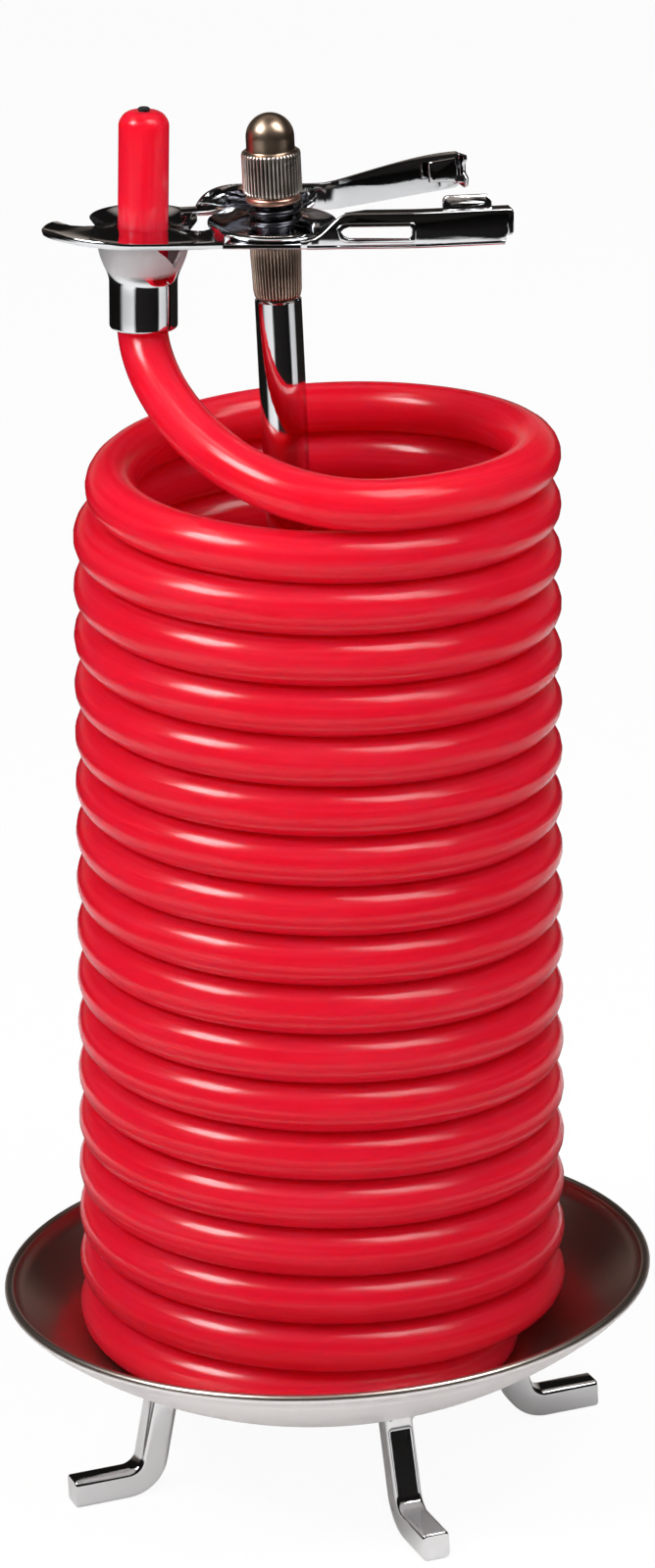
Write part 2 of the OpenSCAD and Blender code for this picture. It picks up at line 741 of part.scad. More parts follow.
module back_lever() {
    arm_low = -bush_low;
    strip_low = eye_rise + slip_gap;
    run = norm(back_bend - back_start);
    end_run = norm(back_end - back_bend);
    tail_run = norm(back_start - back_tail);
    grow = back_handle_h - back_panel_z;
    turn = atan2(back_end.y - back_bend.y, back_end.x - back_bend.x);
    color([0.8, 0.8, 0.82])
        on_clip()
            difference() {
                union() {
                    // Eye ring below the front lever's eye, and its arm to the back
                    translate([0, 0, arm_low])
                        linear_extrude(clip_wall - slip_gap / 2)
                            union() {
                                circle(hub_r);
                                translate([-arm_half, 0])
                                    square([2 * arm_half, web_r + clip_wall]);
                            }
                    // Web that passes outside the front lever's eye
                    translate([-arm_half, web_r, arm_low])
                        cube([2 * arm_half, clip_wall, strip_low + clip_wall - arm_low]);
                    translate([-arm_half, back_start.y, strip_low])
                        cube([2 * arm_half, web_r + clip_wall - back_start.y, clip_wall]);
                    // Panel behind the post
                    panel(back_start, back_bend)
                        translate([0, strip_low])
                            square([run, back_panel_z - strip_low]);
                    // Tail that slopes down to the half saucer
                    panel(back_tail, back_start)
                        polygon(concat(
                            [[tail_run, strip_low], [tail_run, back_panel_z]],
                            [for (t = [0:1 / 8:1]) bezier([
                                [tail_run, back_panel_z], [tail_run * 0.5, back_panel_z + 0.1],
                                [tail_run * 0.2, back_panel_z - 1], [0, tail_end_z]
                            ], t)],
                            [[0, strip_low]]
                        ));
                    // Handle, with a rounded lower corner and a crest that rises to its end
                    panel(back_bend, back_end)
                        polygon(concat(
                            [[0, strip_low]],
                            [for (a = [0:15:90]) [
                                end_run - end_round * (1 - sin(a)),
                                strip_low + end_round * (1 - cos(a)) - 0.2
                            ]],
                            [[end_run, back_handle_h], [end_run * 0.6, back_panel_z + grow * 0.8],
                             [0, back_panel_z]]
                        ));
                    // Folded crest of the handle's outer half, and the fold near its end
                    translate([back_bend.x, back_bend.y, back_panel_z + grow * 0.9 - clip_wall])
                        rotate([0, 0, turn])
                            translate([end_run * 0.55, -flange_w, 0])
                                cube([end_run * 0.45, flange_w, clip_wall]);
                    translate([back_bend.x, back_bend.y, back_panel_z + grow * 0.9 - end_fold])
                        rotate([0, 0, turn])
                            translate([end_run * 0.7, -flange_w, 0])
                                cube([end_run * 0.2, clip_wall, end_fold]);
                    // Half saucer round the taper
                    jaw_half(-1)
                        at_throat()
                            rotate_extrude()
                                polygon([
                                    [0, -clip_wall], [cup_flare_r, -clip_wall],
                                    [saucer_r, saucer_rise - clip_wall], [saucer_r, saucer_rise],
                                    [cup_flare_r - cup_wall, 0.3], [throat_r + 1, 0], [0, 0]
                                ]);
                    // Foot of the tail, down to the saucer
                    jaw_half(-1)
                        translate([0, 0, strip_low])
                            linear_extrude(clip_wall)
                                polygon([
                                    back_tail + [-2.4, -3], back_tail + [-2.4, 1.2],
                                    back_start + [0, 0.4], back_start + [-1.5, -1.2], back_tail + [2, -2.2]
                                ]);
                }
                clip_bores();
            }
}

// The throat's place and the taper's direction there, in the stand's frame
throat_plan = jaw_reach * [cos(jaw_turn), sin(jaw_turn)];
throat_at = [
    throat_plan.x * cos(clip_tilt), throat_plan.y, clip_z - throat_plan.x * sin(clip_tilt)
];
tip_way = [sin(tip_lean), 0, cos(tip_lean)];
tip_below = cup_h;
riser_top = throat_at - tip_below * tip_way;
coil_first = coil_mid(coil_start) - rope_d * coil_way(coil_start);
riser_points = [
    riser_top, riser_top - riser_pull * tip_way,
    coil_first - riser_reach * coil_way(coil_start), coil_first
];
riser_steps = 20;
function riser_at(t) = bezier(riser_points, t);
function riser_way(t) = unit(bezier_way(riser_points, t));

function wax_coil_path() = concat(
    [coil_first],
    [for (k = [0:round((coil_end - coil_start) * loop_rings)]) coil_mid(coil_start + k / loop_rings)],
    [coil_mid(coil_end) + end_run]
);

module wax_coil() {
    path = wax_coil_path();
    way = ways(path);
    color([0.8, 0.05, 0.13])
        tube([for (i = [0:len(path) - 1])
            ring(path[i], way[i], [0, 0, 1], coil_corner, section_sides)]);
}

module wax_riser() {
    color([0.8, 0.05, 0.13])
        tube([for (k = [0:riser_steps])
            ring(riser_at(k / riser_steps), riser_way(k / riser_steps), [-1, 0, 0.3], rope_d / 2, 12)]);
}

module wax_tip() {
    r = rope_d / 2;
    color([0.86, 0.05, 0.16])
        translate(riser_top)
            rotate([0, tip_lean, 0])
                difference() {
                    rotate_extrude()
                        union() {
                            square([r, tip_below + tip_h - tip_round]);
                            square([r - tip_round, tip_below + tip_h]);
                            translate([r - tip_round, tip_below + tip_h - tip_round])
                                intersection() {
                                    circle(tip_round, $fn = 48);
                                    square(tip_round);
                                }
                        }
                    translate([0, 0, tip_below + tip_h - 8])
                        cylinder(d = wick_d, h = 10, $fn = 32);
                }
}

module wick() {
    color([0.05, 0.04, 0.04])
        translate(riser_top)
            rotate([0, tip_lean, 0])
                translate([0, 0, tip_below + tip_h - 8])
                    cylinder(d = wick_d, h = 8 + wick_out, $fn = 32);
}

// Least gaps, measured on points of neighbouring turns
function least_gap(points, skip, reach, thick) = min([
    for (i = [0:len(points) - 1 - skip], j = [i + skip:min(i + reach, len(points) - 1)])
        norm(points[i] - points[j]) - thick
]);
fine_coil = [for (t = [coil_start:1 / 96:coil_end]) coil_mid(t)];
fine_spring = [for (a = [spring_from:7.5:spring_to]) spring_raw(a)];
echo(coil_gap = least_gap(fine_coil, 80, 112, coil_flat));
echo(spring_gap = least_gap(fine_spring, 40, 56, wire_d));
echo(top_z = throat_at.z + tip_h * cos(tip_lean), clip_z = clip_z, throat = throat_at, coil_set_z = coil_set_z);

drip_dish();
leg(0);  // leg_1
leg(1);  // leg_2
leg(2);  // leg_3
leg(3);  // leg_4
post_tube();
tie_rod();
base_washer();
base_nut();
knurled_collar();
pivot_bush();
clip_spring();
copper_washer();
finial();
front_lever();
front_cup();
back_lever();
back_cup();
wax_coil();
wax_riser();
wax_tip();
wick();
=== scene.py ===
"""Coiled wax taper stand: a red wax taper coiled round a chromed post on a footed drip dish."""

import logging
import math
from dataclasses import dataclass, field
from enum import Enum
from typing import Any, Iterable, Sequence

import bmesh
import bpy
from mathutils import Matrix, Vector


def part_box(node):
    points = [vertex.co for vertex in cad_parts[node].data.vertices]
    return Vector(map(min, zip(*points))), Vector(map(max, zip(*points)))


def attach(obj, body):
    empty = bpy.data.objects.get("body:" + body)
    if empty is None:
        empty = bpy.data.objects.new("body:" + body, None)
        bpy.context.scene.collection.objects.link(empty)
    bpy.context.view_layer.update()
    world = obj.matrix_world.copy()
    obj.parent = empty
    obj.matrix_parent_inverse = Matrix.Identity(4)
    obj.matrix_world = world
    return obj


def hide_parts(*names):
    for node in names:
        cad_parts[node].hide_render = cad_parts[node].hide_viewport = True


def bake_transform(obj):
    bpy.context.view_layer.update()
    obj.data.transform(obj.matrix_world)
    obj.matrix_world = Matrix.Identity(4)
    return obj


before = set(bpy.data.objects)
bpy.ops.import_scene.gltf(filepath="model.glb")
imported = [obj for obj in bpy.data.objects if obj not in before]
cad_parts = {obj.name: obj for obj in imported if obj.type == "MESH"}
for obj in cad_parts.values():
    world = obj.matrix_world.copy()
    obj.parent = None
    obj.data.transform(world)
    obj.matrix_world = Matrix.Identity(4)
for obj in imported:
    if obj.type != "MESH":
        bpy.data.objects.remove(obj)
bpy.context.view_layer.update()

LOG = logging.getLogger("taper_stand")
MM = 0.001
UP = Vector((0, 0, 1))
WHITE = (1.0, 1.0, 1.0, 1.0)
Profile = list[tuple[float, float]]


class Body(Enum):
    """The moving bodies of the stand, by their names in the frame."""

    STAND = "stand"
    SWIVEL = "swivel"
    FRONT_JAW = "front_jaw"
    BACK_JAW = "back_jaw"
    TOP_NUT = "top_nut"


class Slot(Enum):
    """The record's material slots."""

    DISH = "plated_dish"
    BAR = "plated_bar"
    TUBE = "plated_tube"
    SHEET = "plated_sheet"
    KNURL = "knurled_metal"
    COPPER = "copper_ring"
    SPRING = "spring_steel"
    ZINC = "zinc_steel"
    WAX = "red_wax"
    WICK = "black_wick"


# ---------------------------------------------------------------- colours and nodes


def linear(hex_colour: str) -> tuple[float, float, float, float]:
    """Turns an sRGB hex colour into linear light.

    Args:
        hex_colour: Six hex digits, with or without a leading hash.

    Returns:
        Red, green, blue and an alpha of 1, all linear.
    """
    digits = hex_colour.lstrip("#")
    channels = [int(digits[i : i + 2], 16) / 255 for i in (0, 2, 4)]
    light = [c / 12.92 if c <= 0.04045 else ((c + 0.055) / 1.055) ** 2.4 for c in channels]
    return light[0], light[1], light[2], 1.0


@dataclass
class Graph:
    """A material's or world's node tree while it is being wired.

    Wherever a value is asked for, a node stands for its first output.
    """

    tree: bpy.types.NodeTree

    def put(self, socket: bpy.types.NodeSocket, value: Any) -> None:
        """Links a socket from a node or another socket, or sets it to a fixed value.

        Args:
            socket: The socket.
            value: The value.
        """
        if isinstance(value, bpy.types.Node):
            value = value.outputs[0]
        if isinstance(value, bpy.types.NodeSocket):
            self.tree.links.new(value, socket)
        else:
            socket.default_value = value

    def feed(self, node: bpy.types.Node, **links: Any) -> bpy.types.Node:
        """Feeds a node's sockets.

        Args:
            node: The node.
            links: What each socket gets; an underscore stands for a space, and in0 or in1
                means a socket by number.

        Returns:
            The same node.
        """
        for name, value in links.items():
            numbered = name.startswith("in") and name[2:].isdigit()
            self.put(node.inputs[int(name[2:]) if numbered else name.replace("_", " ")], value)
        return node

    def add(self, kind: str, settings: dict | None = None, **links: Any) -> bpy.types.Node:
        """Adds a node.

        Args:
            kind: Blender's node type, without ShaderNode before it.
            settings: Node properties by name.
            links: What feeds its sockets, as in feed().

        Returns:
            The new node.
        """
        node = self.tree.nodes.new("ShaderNode" + kind)
        for name, value in (settings or {}).items():
            setattr(node, name, value)
        return self.feed(node, **links)

    def calc(self, operation: str, *values: Any, kind: str = "Math") -> bpy.types.Node:
        """Adds a Math or VectorMath node with its values in order.

        Args:
            operation: What it does.
            values: Its inputs in order.
            kind: Math or VectorMath.

        Returns:
            The node.
        """
        node = self.add(kind, {"operation": operation})
        for socket, value in zip(node.inputs, values):
            self.put(socket, value)
        return node

    def length(self, vector: Any) -> bpy.types.NodeSocket:
        """Length of a vector."""
        return self.calc("LENGTH", vector, kind="VectorMath").outputs["Value"]

    def place(self, kind: str = "Object") -> bpy.types.NodeSocket:
        """Texture coordinates of one kind."""
        return self.add("TexCoord").outputs[kind]

    def axis(self, vector: Any, name: str) -> bpy.types.NodeSocket:
        """One coordinate of a vector."""
        return self.add("SeparateXYZ", None, Vector=vector).outputs[name]

    def noise(self, place: Any, scale: float, detail: float, **links: Any) -> bpy.types.Node:
        """Adds a noise texture."""
        return self.add("TexNoise", None, Vector=place, Scale=scale, Detail=detail, **links)

    def bump(self, height: Any, strength: float, distance: float) -> bpy.types.Node:
        """Adds a bump node."""
        return self.add("Bump", None, Height=height, Strength=strength, Distance=distance)

    def span(
        self, value: Any, given: tuple[float, float], wanted: tuple[float, float] = (0.0, 1.0),
        smooth: bool = False,
    ) -> bpy.types.Node:
        """Maps a value from one range to another, clamped, and eased at both ends if smooth.

        Args:
            value: The value.
            given: Its range.
            wanted: The range that it gets.
            smooth: Whether it is eased at both ends.

        Returns:
            The node.
        """
        settings = {"interpolation_type": "SMOOTHSTEP"} if smooth else None
        return self.add(
            "MapRange", settings, Value=value, From_Min=given[0], From_Max=given[1],
            To_Min=wanted[0], To_Max=wanted[1],
        )

    def blend(self, share: Any, first: Any, second: Any) -> bpy.types.NodeSocket:
        """Mixes two colours by a share."""
        mix = self.add("Mix", {"data_type": "RGBA"}, Factor=share, in6=first, in7=second)
        return mix.outputs["Result"]

    def ramp(self, share: Any, stops: Sequence[tuple[float, str]]) -> bpy.types.Node:
        """Adds a colour ramp with its stops given as place and hex colour.

        Args:
            share: What picks the colour.
            stops: Place and hex colour of each stop.

        Returns:
            The node.
        """
        node = self.add("ValToRGB", None, Fac=share)
        elements = node.color_ramp.elements
        while len(elements) < len(stops):
            elements.new(0.5)
        for element, (place, colour) in zip(elements, stops):
            element.position = place
            element.color = linear(colour)
        return node


def new_material(name: str) -> tuple[bpy.types.Material, Graph, bpy.types.Node]:
    """Makes a material with one Principled shader.

    Args:
        name: The material's name.

    Returns:
        The material, its graph and its shader node.
    """
    material = bpy.data.materials.new(name)
    material.use_nodes = True
    tree = material.node_tree
    return material, Graph(tree), tree.nodes["Principled BSDF"]


# ---------------------------------------------------------------- finishes


@dataclass(frozen=True)
class PlatedFinish:
    """Nickel-chrome plate over polished steel: a cool mirror with faint polishing lines.

    Above dull_from_mm, where that is given, the plate is rubbed to a satin.
    """

    name: str
    dull_from_mm: float | None = None
    dull_over_mm: float = 1.2
    dull_roughness: float = 0.42
    dull_metal: float = 0.2
    colour: str = "D9DADC"
    roughness: float = 0.05
    roughness_spread: float = 0.05
    line_pitch_mm: float = 0.35
    line_stretch: tuple[float, float, float] = (1.0, 1.0, 0.06)
    line_depth: float = 0.02

    def build(self) -> bpy.types.Material:
        """Makes the material.

        Returns:
            The material.
        """
        material, graph, shader = new_material(self.name)
        place = graph.place()
        turned = graph.add("Mapping", None, Vector=place, Scale=self.line_stretch)
        lines = graph.noise(turned, 1 / (self.line_pitch_mm * MM), 3.0)
        if self.dull_from_mm is None:
            metal = 1.0
            smooth, rubbed = self.roughness, self.roughness + self.roughness_spread
            rough = graph.span(graph.noise(place, 90.0, 4.0), (0.35, 0.75), (smooth, rubbed))
        else:
            height = graph.axis(place, "Z")
            zone = (self.dull_from_mm * MM, (self.dull_from_mm + self.dull_over_mm) * MM)
            metal = graph.span(height, zone, (1.0, self.dull_metal))
            rough = graph.span(height, zone, (self.roughness, self.dull_roughness))
        graph.feed(
            shader, Base_Color=linear(self.colour), Metallic=metal, Roughness=rough,
            Normal=graph.bump(lines, self.line_depth, 0.0004),
        )
        return material


@dataclass(frozen=True)
class DishFinish:
    """Spun dish: a polished, slightly darkened inside and a satin outside with fine spinning rings."""

    bowl_mid_z: float
    between_r: float
    inside_colour: str = "BCB0A8"
    outside_colour: str = "F0ECEC"
    inside_roughness: float = 0.26
    outside_roughness: float = 0.34
    outside_metal: float = 0.25

    def build(self) -> bpy.types.Material:
        """Makes the material.

        Returns:
            The material.
        """
        material, graph, shader = new_material("spun_plated_dish")
        place = graph.place()
        mid = (0, 0, self.bowl_mid_z * MM)
        away = graph.length(graph.calc("SUBTRACT", place, mid, kind="VectorMath"))
        outside = graph.calc("GREATER_THAN", away, self.between_r * MM)
        radius = graph.length(graph.calc("MULTIPLY", place, (1, 1, 0), kind="VectorMath"))
        rings = graph.add(
            "TexNoise", {"noise_dimensions": "1D"}, W=radius, Scale=1600.0, Detail=4.0
        )
        rough = graph.add(
            "Mix", {"data_type": "FLOAT"}, Factor=outside,
            A=self.inside_roughness, B=self.outside_roughness,
        )
        cloud = graph.noise(place, 60.0, 5.0)
        inside, outer = linear(self.inside_colour), linear(self.outside_colour)
        graph.feed(
            shader, Base_Color=graph.blend(outside, inside, outer),
            Metallic=graph.span(outside, (0.0, 1.0), (1.0, self.outside_metal)),
            Roughness=graph.calc("MULTIPLY_ADD", cloud, 0.08, rough.outputs["Result"]),
            Normal=graph.bump(rings, 0.05, 0.0003),
        )
        return material


@dataclass(frozen=True)
class WornMetalFinish:
    """A turned and knurled part whose plate is worn to warm metal, with painted shade darkening its
    grooves.
    """

    name: str
    bright: str
    dark: str
    roughness: float = 0.24
    patch_mm: float = 1.6
    grooves: int = 0
    knurl_top_mm: float = 0.0
    plain: str = "A8927F"

    def build(self) -> bpy.types.Material:
        """Makes the material.

        Returns:
            The material.
        """
        material, graph, shader = new_material(self.name)
        place = graph.place()
        patches = graph.noise(place, 1 / (self.patch_mm * MM), 6.0)
        worn = graph.ramp(patches, [(0.1, self.dark), (0.55, self.bright)])
        # Painted shade: the knurl's grooves are darkened towards the dark colour
        angle = graph.calc("ARCTAN2", graph.axis(place, "Y"), graph.axis(place, "X"))
        wave = graph.calc("COSINE", graph.calc("MULTIPLY", angle, float(self.grooves)))
        groove_shade = graph.span(wave, (-0.5, 0.7), (0.0, 0.92 if self.grooves else 0.0))
        knurled = graph.blend(groove_shade, worn, linear(self.dark))
        everywhere_mm = 1000.0
        knurl_top = (self.knurl_top_mm or everywhere_mm) * MM
        above = graph.calc("GREATER_THAN", graph.axis(place, "Z"), knurl_top)
        graph.feed(
            shader, Base_Color=graph.blend(above, knurled, linear(self.plain)), Metallic=1.0,
            Roughness=graph.span(
                patches, (0.0, 1.0), (self.roughness + 0.12, self.roughness - 0.06)
            ),
            Normal=graph.bump(patches, 0.12, 0.0001),
        )
        return material


@dataclass(frozen=True)
class WaxFinish:
    """Dipped and drawn candle wax: dyed red, slightly translucent, with drawing lines along it."""

    length_mm: float
    colour: str = "E6162F"
    deep: str = "DE1229"
    rubbed: str = "EA283E"
    roughness: float = 0.17

    def build(self) -> bpy.types.Material:
        """Makes the material.

        Returns:
            The material.
        """
        material, graph, shader = new_material("drawn_red_wax")
        stretch = (self.length_mm / 40, 26.0, 1.0)
        along = graph.add("Mapping", None, Vector=graph.place("UV"), Scale=stretch)
        streaks = graph.noise(along, 1.0, 5.0, Roughness=0.6)
        cloud = graph.noise(graph.place(), 70.0, 3.0)
        both = graph.calc("MULTIPLY_ADD", cloud, 0.45, streaks)
        shine = (self.roughness - 0.03, self.roughness + 0.1)
        graph.feed(
            shader,
            Base_Color=graph.ramp(
                both, [(0.4, self.deep), (0.68, self.colour), (1.0, self.rubbed)]
            ),
            Roughness=graph.span(streaks, (0.3, 0.75), shine),
            Normal=graph.bump(both, 0.12, 0.0003), IOR=1.44, Specular_IOR_Level=0.32,
            Subsurface_Weight=1.0, Subsurface_Radius=(1.0, 0.12, 0.12), Subsurface_Scale=0.016,
        )
        return material


@dataclass(frozen=True)
class WickFinish:
    """Charred cotton braid: matt black with a fine plait."""

    colour: str = "0B0909"
    strand_mm: float = 0.35

    def build(self) -> bpy.types.Material:
        """Makes the material.

        Returns:
            The material.
        """
        material, graph, shader = new_material("charred_cotton")
        plait = graph.add(
            "TexWave", {"bands_direction": "DIAGONAL"}, Vector=graph.place(),
            Scale=1 / (self.strand_mm * MM) / 6, Distortion=2.0,
        )
        graph.feed(
            shader, Base_Color=graph.ramp(plait, [(0.2, "050404"), (0.9, self.colour)]),
            Roughness=0.9, Normal=graph.bump(plait, 0.6, 0.0002),
        )
        return material


# ---------------------------------------------------------------- mesh helpers


def arc(mid: tuple[float, float], r: float, start: float, end: float, steps: int) -> Profile:
    """Points along a circular arc.

    Args:
        mid: Centre of the arc.
        r: Radius.
        start: First angle, in degrees.
        end: Last angle, in degrees.
        steps: Number of equal steps between them.

    Returns:
        The points, first to last.
    """
    angles = [math.radians(start + (end - start) * i / steps) for i in range(steps + 1)]
    return [(mid[0] + r * math.cos(a), mid[1] + r * math.sin(a)) for a in angles]


def bezier(points: Sequence[Vector], t: float) -> Vector:
    """A point on a cubic curve with four control points."""
    a, b, c, d = points
    return (1 - t) ** 3 * a + 3 * (1 - t) ** 2 * t * b + 3 * (1 - t) * t * t * c + t**3 * d


def swing(points: Sequence[tuple[float, float]], count: int, share: float = 1.0) -> Profile:
    """Equal steps along a flat cubic curve, from its start up to a share of it.

    Args:
        points: Its four control points.
        count: Number of steps.
        share: How much of the curve is gone along.

    Returns:
        The points.
    """
    corners = [Vector((*point, 0)) for point in points]
    places = [bezier(corners, share * i / count) for i in range(count + 1)]
    return [(p.x, p.y) for p in places]


def add_object(name: str, data: bpy.types.ID) -> bpy.types.Object:
    """Makes an object of a mesh, curve, lamp or camera, in the scene.

    Args:
        name: Name of the object.
        data: What it shows.

    Returns:
        The object.
    """
    made = bpy.data.objects.new(name, data)
    bpy.context.scene.collection.objects.link(made)
    return made


def finish_mesh(
    bm: bmesh.types.BMesh, name: str, material: bpy.types.Material, sharp: float = 35.0
) -> bpy.types.Object:
    """Turns a bmesh in millimetres into a smooth-shaded object in metres at the origin.

    Args:
        bm: The mesh, which is freed.
        name: Name of the piece.
        material: Its finish.
        sharp: Edges that turn more than this many degrees stay sharp.

    Returns:
        The new object, linked to the scene.
    """
    bmesh.ops.remove_doubles(bm, verts=bm.verts, dist=1e-5)
    bmesh.ops.recalc_face_normals(bm, faces=bm.faces)
    bmesh.ops.scale(bm, vec=(MM, MM, MM), verts=bm.verts)
    mesh = bpy.data.meshes.new(name)
    bm.to_mesh(mesh)
    bm.free()
    mesh.shade_smooth()
    mesh.set_sharp_from_angle(angle=math.radians(sharp))
    mesh.materials.append(material)
    return add_object(name, mesh)


def revolve(
    profile: Profile, steps: int = 128, closed: bool = False, sweep: float = 360.0
) -> bmesh.types.BMesh:
    """Spins a profile of radius and height about the Z axis.

    Args:
        profile: Points from the bottom up, or round the section.
        steps: Number of facets in the sweep.
        closed: Whether the last point joins the first.
        sweep: Angle of the sweep, in degrees.

    Returns:
        A new bmesh.
    """
    bm = bmesh.new()
    verts = [bm.verts.new((r, 0, z)) for r, z in profile]
    edges = [bm.edges.new(pair) for pair in zip(verts, verts[1:])]
    if closed:
        edges.append(bm.edges.new((verts[-1], verts[0])))
    bmesh.ops.spin(
        bm, geom=verts + edges, cent=(0, 0, 0), axis=(0, 0, 1), dvec=(0, 0, 0),
        angle=math.radians(sweep), steps=steps, use_merge=sweep >= 360, use_duplicate=False,
    )
    bmesh.ops.remove_doubles(bm, verts=bm.verts, dist=1e-5)
    return bm


def knurl(
    bm: bmesh.types.BMesh, low: float, high: float, count: int, depth: float
) -> None:
    """Presses vertical grooves into the faces of a revolved part.

    Args:
        bm: The part, about the Z axis.
        low: Height where the grooves start.
        high: Height where they end.
        count: Number of grooves.
        depth: Depth of a groove.
    """
    for vert in bm.verts:
        r = math.hypot(vert.co.x, vert.co.y)
        on_side = r > 1
        if on_side and low < vert.co.z < high:
            angle = math.atan2(vert.co.y, vert.co.x)
            groove = 0.5 + 0.5 * math.cos(angle * count)
            shrink = (r - depth * groove**1.5) / r
            vert.co.x *= shrink
            vert.co.y *= shrink


def settle(
    piece: bpy.types.Object, body: Body, nodes: Iterable[str] = ()
) -> bpy.types.Object:
    """Lets a finished piece ride on its body, and stand for the nodes that it replaces.

    Args:
        piece: The piece.
        body: The body that it rides on.
        nodes: The nodes that it replaces.

    Returns:
        The same piece.
    """
    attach(piece, body.value)
    names = list(nodes)
    if names:
        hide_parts(*names)
    LOG.info("%s rides on %s, for %s", piece.name, body.value, ", ".join(names) or "itself")
    return piece


# ---------------------------------------------------------------- the stand


@dataclass
class DripDish:
    """The spun dish with its rim bead, its flat pad and its hole for the tie rod."""

    outer_d: float = 108.0
    rim_z: float = 34.4
    depth: float = 20.0
    wall: float = 1.0
    bead_d: float = 1.6
    pad_r: float = 6.0
    hole_r: float = 2.05

    @property
    def rim_mid(self) -> tuple[float, float]:
        """Radius and height of the rim bead's middle."""
        return self.outer_d / 2 - self.bead_d / 2, self.rim_z - self.bead_d / 2

    @property
    def bowl_r(self) -> float:
        """Radius of the bowl's inner sphere."""
        r = self.rim_mid[0]
        return (r * r + self.depth * self.depth) / (2 * self.depth)

    @property
    def bowl_mid_z(self) -> float:
        """Height of the sphere's middle."""
        return self.rim_mid[1] - self.depth + self.bowl_r

    def surface(self, r: float, thick: float = 0.0) -> float:
        """Height of the bowl at a radius; thick goes down into the wall."""
        sphere = self.bowl_r + thick
        return self.bowl_mid_z - math.sqrt(sphere * sphere - r * r)

    def build(self) -> bpy.types.Object:
        """Spins the dish's section.

        Returns:
            The piece.
        """
        rim_r, rim_z = self.rim_mid
        radii = [self.pad_r + (rim_r - 1 - self.pad_r) * i / 40 for i in range(41)]
        inside = [(r, self.surface(r)) for r in radii]
        outside = [(r, self.surface(r, self.wall)) for r in reversed(radii)]
        bead = arc((rim_r, rim_z), self.bead_d / 2, 190, -80, 16)
        pad_top = self.surface(self.pad_r)
        pad_low = self.surface(0, self.wall)
        section = (
            [(self.hole_r, pad_low), (self.hole_r, pad_top)]
            + inside + bead + outside
            + [(self.pad_r - 0.1, pad_low)]
        )
        bm = revolve(section, steps=256, closed=True)
        finish = DishFinish(self.bowl_mid_z, self.bowl_r + self.wall / 2)
        piece = finish_mesh(bm, "spun_dish", finish.build(), sharp=40)
        return settle(piece, Body.STAND, ["drip_dish"])


